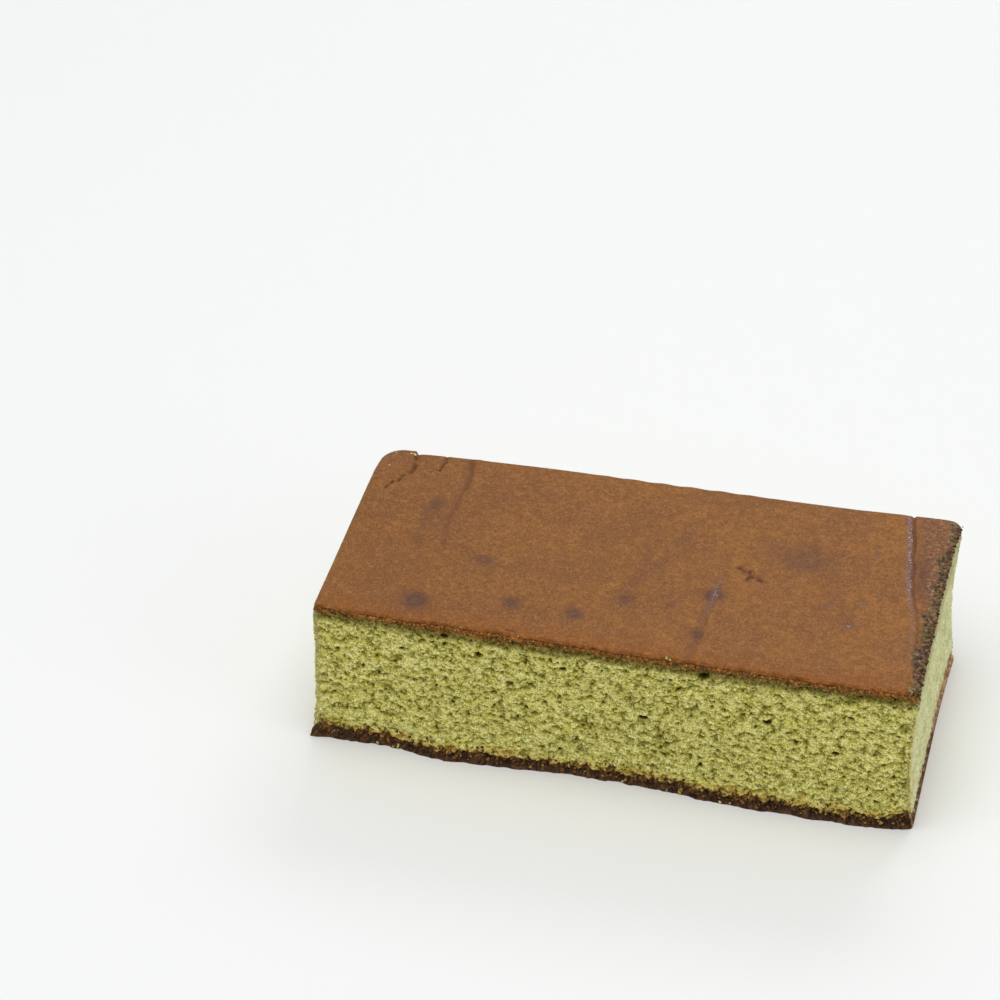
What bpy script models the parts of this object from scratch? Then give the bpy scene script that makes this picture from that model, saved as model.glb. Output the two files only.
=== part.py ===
"""Castella: a sponge cake baked in a paper-lined frame, with one long face cut by a knife.

The length runs along X, the cut face looks along -Y, and the cake stands on its flat base
at Z = 0 with its middle over the origin. Every size is in metres.
"""

import math

import bmesh
import bpy
from mathutils import Vector, noise

MM = 0.001

# The loaf as its baking frame makes it, before it swells and sags
LENGTH = 180 * MM
WIDTH = 83 * MM
HEIGHT = 50.5 * MM
CORNER_LEFT = 6.5 * MM
CORNER_RIGHT = 4.5 * MM
RIM_RADIUS = 1.0 * MM
ROUNDING_SEGMENTS = 4
RIM_SEGMENTS = 2

# How the moulded sides draw in under the lip of the top crust, and lean out towards the base
WAIST_LOW = 6 * MM
WAIST_HIGH = 47 * MM
WAIST_LEFT = 0.4 * MM
WAIST_RIGHT = 1.2 * MM
WAIST_BACK = 1.1 * MM
LEAN_LEFT = 0.9 * MM
LEAN_RIGHT = 0.4 * MM
LEAN_BACK = 0.5 * MM

# How far the back runs out of square, and how far the right side spreads towards the back
BACK_OUT = 0.5 * MM
BACK_SKEW = 2.0 * MM
RIGHT_FLARE = 1.3 * MM

# How the base crust spreads past the sides, most of all at the front left corner
FLANGE_HEIGHT = 7 * MM
FLANGE_OUT = 0.6 * MM
TIP_OUT = 0.8 * MM
TIP_REACH = 9 * MM

# How the cut face bows forward at the top, and how its foot bulges along the base: halves of the
# length from the middle, and millimetres forward
BOW_TOP = 0.8 * MM
FOOT_POWER = 1.5
FOOT_BULGES = (
    (-1.0, 0.6),
    (-0.89, 0.0),
    (-0.70, 0.0),
    (-0.64, 1.6),
    (-0.56, 2.6),
    (-0.49, 2.2),
    (-0.37, 1.5),
    (-0.27, 0.7),
    (-0.17, 0.0),
    (0.04, 0.0),
    (0.15, 0.4),
    (0.22, 0.8),
    (0.31, 1.9),
    (0.50, 2.5),
    (0.75, 2.6),
    (0.92, 2.2),
    (0.98, 0.8),
    (1.0, 0.3),
)

# The uneven top: slow swells, slanting ripples, and the two back corners that curl up
SWELL_SIZE = 34 * MM
SWELL_HEIGHT = 0.35 * MM
RIPPLE_PITCH = 9 * MM
RIPPLE_HEIGHT = 0.15 * MM
RIPPLE_SLANT = 0.35
RIPPLE_SPAN = (-30 * MM, 40 * MM)
CURL_LEFT_RISE = 0.2 * MM
CURL_LEFT_REACH = 18 * MM
CURL_RIGHT_RISE = 1.0 * MM
CURL_RIGHT_REACH = 32 * MM

# Spacing of the sculpting grid
GRID_ALONG = 5 * MM
GRID_ACROSS = 5.2 * MM
GRID_HEIGHTS = (1.8, 4, 7, 12, 18, 25, 32, 38, 42, 45, 47.5)

# Furrows in the top crust: the path is in halves of the length and of the width from the middle
FURROWS = {
    "left_crease": {
        "path": ((-0.68, 0.92), (-0.67, 0.70), (-0.68, 0.15), (-0.65, -0.31)),
        "width": 2.6 * MM,
        "depth": 0.45 * MM,
    },
    "middle_crease": {
        "path": ((0.29, 0.14), (0.27, -0.11), (0.26, -0.60), (0.25, -0.93)),
        "width": 1.8 * MM,
        "depth": 0.35 * MM,
    },
    "right_fold": {
        "path": ((0.82, 1.08), (0.86, 0.66), (0.90, 0.11), (0.93, -0.15), (0.95, -0.60)),
        "width": 2.0 * MM,
        "depth": 0.6 * MM,
    },
    "corner_crack": {
        "path": ((-0.89, 1.08), (-0.87, 0.78), (-0.90, 0.60), (-0.95, 0.45)),
        "width": 1.5 * MM,
        "depth": 0.7 * MM,
    },
    "inner_crack": {
        "path": ((-0.775, 0.96), (-0.78, 0.84), (-0.81, 0.74), (-0.82, 0.67)),
        "width": 1.3 * MM,
        "depth": 0.6 * MM,
    },
}
FURROW_SIDES = 1
FURROW_STEPS = 5

# The widest bubbles that the knife opened: halves of the length from the middle, share of the
# height, and width in millimetres
BUBBLES = (
    (-0.70, 0.77, 1.8),
    (-0.56, 0.90, 2.2),
    (-0.44, 0.81, 2.6),
    (-0.34, 0.63, 1.9),
    (0.11, 0.53, 2.8),
    (0.30, 0.90, 3.4),
    (0.52, 0.64, 2.6),
    (0.79, 0.76, 2.0),
    (0.75, 0.49, 2.2),
)
BUBBLE_FLATTENING = 0.6
BUBBLE_DEPTH = 1.1 * MM
BUBBLE_SIDES = 8
BUBBLE_RINGS = 5

CRUMB_GREEN = (0.34, 0.31, 0.09, 1.0)
CAKE_ROUGHNESS = 0.9


def clear_scene():
    for item in list(bpy.data.objects):
        bpy.data.objects.remove(item)


def new_collection(name):
    collection = bpy.data.collections.new(name)
    bpy.context.scene.collection.children.link(collection)
    return collection


def new_object(name, bm, collection):
    mesh = bpy.data.meshes.new(name)
    bm.to_mesh(mesh)
    bm.free()
    item = bpy.data.objects.new(name, mesh)
    collection.objects.link(item)
    return item


def arch(value, low, high):
    """Rises from 0 at low to 1 half way, and falls back to 0 at high."""
    share = min(max((value - low) / (high - low), 0.0), 1.0)
    return math.sin(math.pi * share)


def flange(z):
    """How far the base crust spreads at this height."""
    return FLANGE_OUT * max(0.0, 1 - z / FLANGE_HEIGHT) ** 2


def side_out(z, waist, lean):
    """How far a moulded side stands outside the frame's line at this height."""
    return lean * (1 - z / HEIGHT) + flange(z) - waist * arch(z, WAIST_LOW, WAIST_HIGH)


def foot_bulge(x):
    """How far the foot of the cut face bulges forward at this place along the length."""
    along = min(max(2 * x / LENGTH, -1.0), 1.0)
    for (start, low), (end, high) in zip(FOOT_BULGES, FOOT_BULGES[1:]):
        if along <= end:
            share = (along - start) / (end - start)
            return (low + (high - low) * share) * MM
    return FOOT_BULGES[-1][1] * MM


def front_out(x, z):
    """How far the cut face stands forward of the line between its corners."""
    rise = min(z / HEIGHT, 1.0)
    bow = BOW_TOP * (1 - (2 * x / LENGTH) ** 4) * rise
    return bow + foot_bulge(x) * (1 - rise) ** FOOT_POWER


def corner_tip(x, y, z):
    """How far the base crust's front left tip reaches past the rest of the base."""
    away = math.hypot(x + LENGTH / 2, y + WIDTH / 2) / TIP_REACH
    return TIP_OUT * max(0.0, 1 - away) * max(0.0, 1 - z / FLANGE_HEIGHT)


def curl(x, y, side, rise, reach):
    """How far the back corner on this side curls up: -1 is left, 1 is right."""
    away = math.hypot(x - side * LENGTH / 2, y - WIDTH / 2) / reach
    return rise * max(0.0, 1 - away)


def top_swell(x, y):
    """How far the top crust stands above or below the loaf's height."""
    swell = SWELL_HEIGHT * noise.noise(Vector((x / SWELL_SIZE, y / SWELL_SIZE, 0.5)))
    across = (x - RIPPLE_SLANT * y) / RIPPLE_PITCH
    ripple = RIPPLE_HEIGHT * math.sin(2 * math.pi * across) * arch(x, *RIPPLE_SPAN)
    left = curl(x, y, -1, CURL_LEFT_RISE, CURL_LEFT_REACH)
    right = curl(x, y, 1, CURL_RIGHT_RISE, CURL_RIGHT_REACH)
    return swell + ripple + left + right


def sculpted(point):
    """Where a point of the plain block lies in the baked, peeled and cut cake."""
    x, y, z = point
    if x < 0:
        end_out = side_out(z, WAIST_LEFT, LEAN_LEFT)
    else:
        flare = RIGHT_FLARE * max(0.0, 2 * y / WIDTH) ** 2
        end_out = side_out(z, WAIST_RIGHT, LEAN_RIGHT) + flare
    if y < 0:
        long_out = front_out(x, z)
    else:
        long_out = side_out(z, WAIST_BACK, LEAN_BACK) + BACK_OUT + BACK_SKEW * x / LENGTH
    new_x = x * (1 + 2 * end_out / LENGTH) - corner_tip(x, y, z)
    new_y = y * (1 + 2 * long_out / WIDTH)
    new_z = z * (1 + top_swell(x, y) / HEIGHT)
    return Vector((new_x, new_y, new_z))


def vertical_edge(bm, side):
    """The block's upright back edge on this side: -1 is left, 1 is right."""
    for edge in bm.edges:
        middle = (edge.verts[0].co + edge.verts[1].co) / 2
        upright = abs(edge.verts[0].co.z - edge.verts[1].co.z) > HEIGHT / 2
        if upright and middle.y > 0 and middle.x * side > 0:
            return edge


def moulded_rim(bm):
    """The edges round the top, without the knife's edge along the front."""
    rim = []
    for edge in bm.edges:
        first, second = (vertex.co for vertex in edge.verts)
        on_top = min(first.z, second.z) > HEIGHT - MM
        at_front = max(first.y, second.y) < -WIDTH / 2 + MM
        if on_top and not at_front:
            rim.append(edge)
    return rim


def round_edges(bm, edges, radius, segments):
    bmesh.ops.bevel(
        bm,
        geom=edges,
        offset=radius,
        segments=segments,
        profile=0.5,
        affect="EDGES",
    )


def slice_block(bm, middle, normal):
    geometry = bm.verts[:] + bm.edges[:] + bm.faces[:]
    bmesh.ops.bisect_plane(bm, geom=geometry, dist=MM / 1000, plane_co=middle, plane_no=normal)


def slice_grid(bm):
    """Cuts the block's faces into a grid that is fine enough to sculpt."""
    columns = round(LENGTH / GRID_ALONG)
    for column in range(1, columns):
        slice_block(bm, (LENGTH * (column / columns - 0.5), 0, 0), (1, 0, 0))
    rows = round(WIDTH / GRID_ACROSS)
    for row in range(1, rows):
        slice_block(bm, (0, WIDTH * (row / rows - 0.5), 0), (0, 1, 0))
    for height in GRID_HEIGHTS:
        slice_block(bm, (0, 0, height * MM), (0, 0, 1))


def make_loaf(collection):
    bm = bmesh.new()
    bmesh.ops.create_cube(bm, size=1.0)
    bmesh.ops.scale(bm, vec=(LENGTH, WIDTH, HEIGHT), verts=bm.verts)
    bmesh.ops.translate(bm, vec=(0, 0, HEIGHT / 2), verts=bm.verts)
    round_edges(bm, [vertical_edge(bm, -1)], CORNER_LEFT, ROUNDING_SEGMENTS)
    round_edges(bm, [vertical_edge(bm, 1)], CORNER_RIGHT, ROUNDING_SEGMENTS)
    round_edges(bm, moulded_rim(bm), RIM_RADIUS, RIM_SEGMENTS)
    slice_grid(bm)
    for vertex in bm.verts:
        vertex.co = sculpted(vertex.co)
    return new_object("castella", bm, collection)


def furrow_cutter(name, path, width, depth, collection):
    """A round bar sunk along the top, whose chord at the crust is the furrow's width."""
    radius = (width**2 / 4 + depth**2) / (2 * depth)
    curve = bpy.data.curves.new(name, "CURVE")
    curve.dimensions = "3D"
    curve.bevel_depth = radius
    curve.bevel_resolution = FURROW_SIDES
    curve.resolution_u = FURROW_STEPS
    curve.use_fill_caps = True
    spline = curve.splines.new("BEZIER")
    spline.bezier_points.add(len(path) - 1)
    for point, (along, across) in zip(spline.bezier_points, path):
        x, y = along * LENGTH / 2, across * WIDTH / 2
        place = sculpted((x, y, HEIGHT))
        point.co = place + Vector((0, 0, radius - depth))
        point.handle_left_type = "AUTO"
        point.handle_right_type = "AUTO"
    return mesh_of_curve(name, curve, collection)


def mesh_of_curve(name, curve, collection):
    """Turns a filled curve into a closed mesh object, which a Boolean can use."""
    guide = bpy.data.objects.new(name + "_guide", curve)
    collection.objects.link(guide)
    depsgraph = bpy.context.evaluated_depsgraph_get()
    bm = bmesh.new()
    bm.from_mesh(bpy.data.meshes.new_from_object(guide.evaluated_get(depsgraph)))
    bmesh.ops.remove_doubles(bm, verts=bm.verts, dist=MM / 1000)
    bmesh.ops.recalc_face_normals(bm, faces=bm.faces)
    item = new_object(name, bm, collection)
    item.matrix_world = guide.matrix_world
    bpy.data.objects.remove(guide)
    return item


def bubble_cutter(collection):
    """All the flattened bubbles, each centred on the cut face, as one cutter."""
    bm = bmesh.new()
    for along, share, width in BUBBLES:
        x, z = along * LENGTH / 2, share * HEIGHT
        ball = bmesh.ops.create_uvsphere(
            bm, u_segments=BUBBLE_SIDES, v_segments=BUBBLE_RINGS, radius=1.0
        )
        radius = width * MM / 2
        stretch = (radius, BUBBLE_DEPTH, radius * BUBBLE_FLATTENING)
        bmesh.ops.scale(bm, vec=stretch, verts=ball["verts"])
        place = sculpted((x, -WIDTH / 2, z))
        bmesh.ops.translate(bm, vec=place, verts=ball["verts"])
    return new_object("bubbles", bm, collection)


def cut(item, cutter):
    cutter.hide_render = True
    cutter.display_type = "WIRE"
    modifier = item.modifiers.new(cutter.name, "BOOLEAN")
    modifier.operation = "DIFFERENCE"
    modifier.solver = "EXACT"
    modifier.object = cutter


def stand_over_origin(loaf, others):
    """Moves the cake and its cutters so that the middle of its box is over the origin."""
    corners = [vertex.co for vertex in loaf.data.vertices]
    middle_x = (min(c.x for c in corners) + max(c.x for c in corners)) / 2
    middle_y = (min(c.y for c in corners) + max(c.y for c in corners)) / 2
    shift = Vector((-middle_x, -middle_y, 0))
    for item in [loaf, *others]:
        for vertex in item.data.vertices:
            vertex.co += shift


def crumb_material():
    material = bpy.data.materials.new("green_tea_sponge")
    material.use_nodes = True
    shader = material.node_tree.nodes["Principled BSDF"]
    shader.inputs["Base Color"].default_value = CRUMB_GREEN
    shader.inputs["Roughness"].default_value = CAKE_ROUGHNESS
    shader.inputs["Metallic"].default_value = 0.0
    return material


def make_castella():
    clear_scene()
    parts = new_collection("castella_cake")
    cutters = new_collection("cutters")
    loaf = make_loaf(parts)
    loaf.data.materials.append(crumb_material())
    tools = [bubble_cutter(cutters)]
    for name, furrow in FURROWS.items():
        tools.append(furrow_cutter(name, collection=cutters, **furrow))
    stand_over_origin(loaf, tools)
    for tool in tools:
        cut(loaf, tool)


make_castella()
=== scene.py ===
"""Castella sponge cake: its open cut face, peeled sides, baked top skin, base crust and crumbs.

The cake is made of six skins, one for each of its faces. Each skin is a fine sheet in the shape
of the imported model, closed behind by a mitred back, and Geometry Nodes carve its relief. Places
on the cake are worked out on the plain block that came out of the baking frame, and then moved to
where baking, peeling and cutting left them. All sizes are in metres.
"""

import copy
import math

import bpy
import numpy as np
from mathutils import Matrix, Vector, noise


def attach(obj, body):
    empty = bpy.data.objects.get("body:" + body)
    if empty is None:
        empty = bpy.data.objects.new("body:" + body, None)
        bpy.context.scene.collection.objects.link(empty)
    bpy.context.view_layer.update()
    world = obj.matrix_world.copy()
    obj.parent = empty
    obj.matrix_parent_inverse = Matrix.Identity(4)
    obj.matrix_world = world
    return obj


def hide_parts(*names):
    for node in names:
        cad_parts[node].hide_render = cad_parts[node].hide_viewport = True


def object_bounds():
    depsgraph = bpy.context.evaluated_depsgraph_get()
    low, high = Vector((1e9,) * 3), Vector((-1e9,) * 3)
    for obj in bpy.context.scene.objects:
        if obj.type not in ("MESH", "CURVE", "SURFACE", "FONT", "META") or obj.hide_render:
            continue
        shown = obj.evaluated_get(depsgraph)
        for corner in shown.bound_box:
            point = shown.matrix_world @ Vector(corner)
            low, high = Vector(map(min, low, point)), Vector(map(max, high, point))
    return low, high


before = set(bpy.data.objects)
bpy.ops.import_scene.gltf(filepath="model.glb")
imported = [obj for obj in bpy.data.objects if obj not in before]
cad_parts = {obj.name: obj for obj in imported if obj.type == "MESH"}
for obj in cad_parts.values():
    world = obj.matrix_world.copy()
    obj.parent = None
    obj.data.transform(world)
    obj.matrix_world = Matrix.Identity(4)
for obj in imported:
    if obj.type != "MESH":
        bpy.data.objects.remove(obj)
CAD_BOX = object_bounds()

MM = 0.001

# The loaf as its baking frame makes it
LENGTH = 180 * MM
WIDTH = 83 * MM
HEIGHT = 50.5 * MM
CORNER_LEFT = 6.5 * MM
CORNER_RIGHT = 4.5 * MM
RIM_RADIUS = 1.0 * MM
LIP_DROP = 3.6 * MM

# How the moulded sides draw in under the lip of the top crust, and lean out towards the base
WAIST_LOW = 6 * MM
WAIST_HIGH = 47 * MM
WAIST_LEFT = 0.4 * MM
WAIST_RIGHT = 1.2 * MM
WAIST_BACK = 1.1 * MM
LEAN_LEFT = 0.9 * MM
LEAN_RIGHT = 0.4 * MM
LEAN_BACK = 0.5 * MM

# How far the moulded sides run out of square
BACK_OUT = 0.5 * MM
BACK_SKEW = 2.0 * MM
RIGHT_FLARE = 1.3 * MM

# How the base crust spreads past the sides
FLANGE_HEIGHT = 7 * MM
FLANGE_OUT = 0.6 * MM
TIP_OUT = 0.8 * MM
TIP_REACH = 9 * MM

# How the cut face bows forward at the top, and how its foot bulges along the base: halves of the
# length from the middle, and millimetres forward
BOW_TOP = 0.8 * MM
FOOT_POWER = 1.5
FOOT_BULGES = np.array((
    (-1.0, 0.6),
    (-0.89, 0.0),
    (-0.70, 0.0),
    (-0.64, 1.6),
    (-0.56, 2.6),
    (-0.49, 2.2),
    (-0.37, 1.5),
    (-0.27, 0.7),
    (-0.17, 0.0),
    (0.04, 0.0),
    (0.15, 0.4),
    (0.22, 0.8),
    (0.31, 1.9),
    (0.50, 2.5),
    (0.75, 2.6),
    (0.92, 2.2),
    (0.98, 0.8),
    (1.0, 0.3),
))

# The uneven top
SWELL_SIZE = 34 * MM
SWELL_HEIGHT = 0.35 * MM
RIPPLE_PITCH = 9 * MM
RIPPLE_HEIGHT = 0.15 * MM
RIPPLE_SLANT = 0.35
RIPPLE_SPAN = (-30 * MM, 40 * MM)
CURL_LEFT_RISE = 0.2 * MM
CURL_LEFT_REACH = 18 * MM
CURL_RIGHT_RISE = 1.0 * MM
CURL_RIGHT_REACH = 32 * MM

# Mesh spacing of each skin, and how deep the mitred back lies
CUT_STEP = 0.19 * MM
SIDE_STEP = 0.36 * MM
BACK_STEP = 0.40 * MM
TOP_STEP = 0.30 * MM
BASE_STEP = 0.9 * MM
BACK_DEPTH = 8 * MM
EDGE_FADE = 0.6 * MM


# ---------------------------------------------------------------- shape of the loaf

def arch(value, low, high):
    """Rises from 0 at low to 1 half way, and falls back to 0 at high."""
    return np.sin(np.pi * np.clip((value - low) / (high - low), 0, 1))


def flange(z):
    return FLANGE_OUT * np.clip(1 - z / FLANGE_HEIGHT, 0, None) ** 2


def side_out(z, waist, lean):
    """How far a moulded side stands outside the frame's line at this height."""
    return lean * (1 - z / HEIGHT) + flange(z) - waist * arch(z, WAIST_LOW, WAIST_HIGH)


def front_out(x, z):
    """How far the cut face stands forward of the line between its corners."""
    rise = np.clip(z / HEIGHT, 0, 1)
    bow = BOW_TOP * (1 - (2 * x / LENGTH) ** 4) * rise
    foot = np.interp(2 * x / LENGTH, *FOOT_BULGES.T) * MM
    return bow + foot * (1 - rise) ** FOOT_POWER


def corner_tip(x, y, z):
    """How far the base crust's front left tip reaches past the rest of the base."""
    away = np.hypot(x + LENGTH / 2, y + WIDTH / 2) / TIP_REACH
    return TIP_OUT * np.clip(1 - away, 0, None) * np.clip(1 - z / FLANGE_HEIGHT, 0, None)


def smooth_noise(x, y, size, layer):
    """Gentle noise from -1 to 1 over a plan, in swells of about this size."""
    places = zip(np.ravel(x) / size, np.ravel(y) / size)
    values = [noise.noise((a, b, layer)) for a, b in places]
    return np.array(values).reshape(np.shape(x))


def top_swell(x, y):
    """How far the top crust stands above or below the loaf's height."""
    swell = SWELL_HEIGHT * smooth_noise(x, y, SWELL_SIZE, 0.5)
    across = (x - RIPPLE_SLANT * y) / RIPPLE_PITCH
    ripple = RIPPLE_HEIGHT * np.sin(2 * np.pi * across) * arch(x, *RIPPLE_SPAN)
    left = np.hypot(x + LENGTH / 2, y - WIDTH / 2) / CURL_LEFT_REACH
    right = np.hypot(x - LENGTH / 2, y - WIDTH / 2) / CURL_RIGHT_REACH
    curl = CURL_LEFT_RISE * np.clip(1 - left, 0, None)
    return swell + ripple + curl + CURL_RIGHT_RISE * np.clip(1 - right, 0, None)


def sculpted(points):
    """Where points of the plain block lie in the baked, peeled and cut cake."""
    x, y, z = np.moveaxis(points, -1, 0)
    left = side_out(z, WAIST_LEFT, LEAN_LEFT)
    flare = RIGHT_FLARE * np.clip(2 * y / WIDTH, 0, 1) ** 2
    right = side_out(z, WAIST_RIGHT, LEAN_RIGHT) + flare
    end_out = np.where(x < 0, left, right)
    back = side_out(z, WAIST_BACK, LEAN_BACK) + BACK_OUT + BACK_SKEW * x / LENGTH
    long_out = np.where(y < 0, front_out(x, z), back)
    new_x = x * (1 + 2 * end_out / LENGTH) - corner_tip(x, y, z)
    new_y = y * (1 + 2 * long_out / WIDTH)
    new_z = z * (1 + top_swell(x, y) / HEIGHT)
    return np.stack([new_x, new_y, new_z], -1)


# ---------------------------------------------------------------- worn and chipped edges

def ragged(place, size, seed):
    """Smooth random values from -1 to 1 along a line, which change over about this size."""
    knots = np.random.default_rng(seed).uniform(-1, 1, 1024)
    step = place / size + 512
    first = np.floor(step).astype(int)
    share = step - first
    share = share**2 * (3 - 2 * share)
    return knots[first % 1024] * (1 - share) + knots[(first + 1) % 1024] * share


def chips(place, size, mean, depth, seed):
    """How deep an edge is worn at each place along it."""
    coarse = ragged(place, size, seed)
    fine = ragged(place, size / 2.7, seed + 1)
    gouges = np.clip(ragged(place, size * 3.1, seed + 2) - 0.55, 0, None) * 2.0
    return np.clip(mean + depth * (0.6 * coarse + 0.45 * fine + gouges), 0, None)


def near(distance, reach):
    """1 at the edge itself, falling smoothly to 0 at reach."""
    share = np.clip(1 - distance / reach, 0, 1)
    return share**2 * (3 - 2 * share)


def rolled(points):
    """How far the knife's top edge and the back left corner are rounded off."""
    x, y, z = np.moveaxis(points, -1, 0)
    shift = np.zeros(points.shape)
    edge = near(np.hypot(y + WIDTH / 2, HEIGHT - z), 1.7 * MM)
    shift[..., 1] += 0.5 * MM * edge
    shift[..., 2] -= 0.4 * MM * edge
    corner = near(np.hypot(x + LENGTH / 2, y - WIDTH / 2), 15 * MM) * near(HEIGHT - z, 9 * MM)
    shift[..., 0] += 0.9 * MM * corner
    shift[..., 1] -= 0.5 * MM * corner
    shift[..., 2] -= 0.4 * MM * corner
    return shift


def worn(points):
    """How far the knife's edges and the foot are chipped back, as a shift of each point."""
    x, y, z = np.moveaxis(points, -1, 0)
    from_cut = y + WIDTH / 2
    shift = np.zeros(points.shape)

    from_rim = np.hypot(from_cut, HEIGHT - z)
    top = chips(x, 2.6 * MM, 0.30 * MM, 0.90 * MM, 11) * near(from_rim, 2.2 * MM)
    nicks = chips(x, 1.0 * MM, 0.12 * MM, 0.42 * MM, 67) * near(from_rim, 1.0 * MM)
    shift[..., 1] += 0.8 * top + nicks
    shift[..., 2] -= 0.6 * top + 0.5 * nicks

    foot = chips(x, 3.4 * MM, 0.35 * MM, 0.6 * MM, 23) * near(np.hypot(from_cut, z), 4.0 * MM)
    shift[..., 1] += foot

    for side, seed in ((-1, 37), (1, 51)):
        inwards = LENGTH / 2 - side * x
        away = np.hypot(from_cut, inwards)
        edge = chips(z, 2.2 * MM, 0.20 * MM, 0.45 * MM, seed) * near(away, 2.2 * MM)
        edge += chips(z, 0.9 * MM, 0.05 * MM, 0.25 * MM, seed + 5) * near(away, 1.0 * MM)
        shift[..., 0] -= 0.7 * side * edge
        shift[..., 1] += 0.6 * edge
    return shift


# ---------------------------------------------------------------- sheets over the block

def steps(start, end, spacing):
    """Evenly spaced values from start to end, both included."""
    return np.linspace(start, end, max(2, round(abs(end - start) / spacing) + 1))


class Skin:
    """A grid of points over one face of the block, with what is known at each point.

    Rows and columns turn so that the faces look out. near_edge is how far each point is from
    the face's border, and marks holds the named values that carving and colouring read.
    """

    def __init__(self, name, points, outward, joined=(False, False)):
        self.name = name
        self.points = points
        self.outward = np.broadcast_to(outward, points.shape)
        self.marks = {}
        self.near_edge = self.distance_to_border(joined)

    def distance_to_border(self, joined):
        """A first or last column that is joined to the next skin doesn't count as border."""
        along = np.linalg.norm(np.diff(self.points, axis=1), axis=2).mean(0)
        up = np.linalg.norm(np.diff(self.points, axis=0), axis=2).mean(1)
        run = np.concatenate([[0], np.cumsum(along)])
        rise = np.concatenate([[0], np.cumsum(up)])
        first, last = np.where(joined, LENGTH, 0.0)
        from_sides = np.minimum(run + first, run[-1] - run + last)
        from_ends = np.minimum(rise, rise[-1] - rise)
        return np.minimum(from_sides[None, :], from_ends[:, None])

    def strips(self, *names):
        """Splits the skin into this many strips side by side, which share their border points."""
        columns = self.points.shape[1]
        bounds = np.linspace(0, columns - 1, len(names) + 1).round().astype(int)
        for name, first, last in zip(names, bounds, bounds[1:]):
            strip = copy.copy(self)
            strip.name = name
            strip.points = self.points[:, first:last + 1]
            strip.outward = self.outward[:, first:last + 1]
            strip.near_edge = self.near_edge[:, first:last + 1]
            strip.marks = {key: mark[:, first:last + 1] for key, mark in self.marks.items()}
            yield strip


def cut_skin():
    """The front: columns run right to left, rows run up, and the top corners are rounded."""
    across = steps(1, -1, CUT_STEP / (LENGTH / 2))
    heights = steps(0, HEIGHT, CUT_STEP)
    over_rim = np.clip(heights - (HEIGHT - RIM_RADIUS), 0, RIM_RADIUS)
    half = LENGTH / 2 - RIM_RADIUS + np.sqrt(np.clip(RIM_RADIUS**2 - over_rim**2, 0, None))
    x = half[:, None] * across[None, :]
    z = np.broadcast_to(heights[:, None], x.shape)
    return Skin("cut_face", np.stack([x, np.full_like(x, -WIDTH / 2), z], -1), (0.0, -1.0, 0.0))


def wall_skin(name, x, y, normal_x, normal_y, joined):
    """A moulded side above the plan line x, y, which runs clockwise seen from above."""
    heights = steps(0, HEIGHT - LIP_DROP, SIDE_STEP)
    shape = (len(heights), len(x))
    flat = [np.broadcast_to(v, shape) for v in (x, y, normal_x, normal_y)]
    z = np.broadcast_to(heights[:, None], shape)
    points = np.stack([flat[0], flat[1], z], -1)
    return Skin(name, points, np.stack([flat[2], flat[3], np.zeros(shape)], -1), joined)


def left_skin():
    y = steps(-WIDTH / 2, WIDTH / 2 - CORNER_LEFT, SIDE_STEP)
    edge = np.full_like(y, -LENGTH / 2)
    return wall_skin("left_side", edge, y, np.full_like(y, -1.0), np.zeros_like(y), (False, True))


def right_skin():
    y = steps(WIDTH / 2 - CORNER_RIGHT, -WIDTH / 2, SIDE_STEP)
    edge = np.full_like(y, LENGTH / 2)
    return wall_skin("right_side", edge, y, np.full_like(y, 1.0), np.zeros_like(y), (True, False))


def back_skin():
    """The back, with both rounded corners."""
    left_turn = steps(np.pi, np.pi / 2, BACK_STEP / CORNER_LEFT)
    right_turn = steps(np.pi / 2, 0, BACK_STEP / CORNER_RIGHT)
    left_x, right_x = -LENGTH / 2 + CORNER_LEFT, LENGTH / 2 - CORNER_RIGHT
    straight = steps(left_x, right_x, BACK_STEP)[1:-1]
    x = np.concatenate([
        left_x + CORNER_LEFT * np.cos(left_turn),
        straight,
        right_x + CORNER_RIGHT * np.cos(right_turn),
    ])
    y = np.concatenate([
        WIDTH / 2 - CORNER_LEFT + CORNER_LEFT * np.sin(left_turn),
        np.full_like(straight, WIDTH / 2),
        WIDTH / 2 - CORNER_RIGHT + CORNER_RIGHT * np.sin(right_turn),
    ])
    normal_x = np.concatenate([np.cos(left_turn), np.zeros_like(straight), np.cos(right_turn)])
    normal_y = np.concatenate([np.sin(left_turn), np.ones_like(straight), np.sin(right_turn)])
    return wall_skin("back_side", x, y, normal_x, normal_y, (True, True))


def plan_grid(u, v):
    """Lays a square grid over the rounded plan.

    Gives each point's core place, the level direction out from it, and its distance along that
    direction. Square rings of the grid become round ones at the back corners.
    """
    corner = np.where(u < 0, CORNER_LEFT, CORNER_RIGHT)
    core_x = np.clip(u, -LENGTH / 2 + corner, LENGTH / 2 - corner)
    core_y = np.minimum(v, WIDTH / 2 - corner)
    out_x, out_y = np.abs(u - core_x), v - core_y
    far = np.maximum(out_x, out_y)
    nearer = np.minimum(out_x, out_y)
    turn = np.pi / 4 * nearer / np.maximum(far, 1e-9)
    angle = np.where(out_x >= out_y, turn, np.pi / 2 - turn)
    level = np.stack([np.cos(angle) * np.sign(u - core_x), np.sin(angle)], -1)
    return core_x, core_y, level, far, corner


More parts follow.
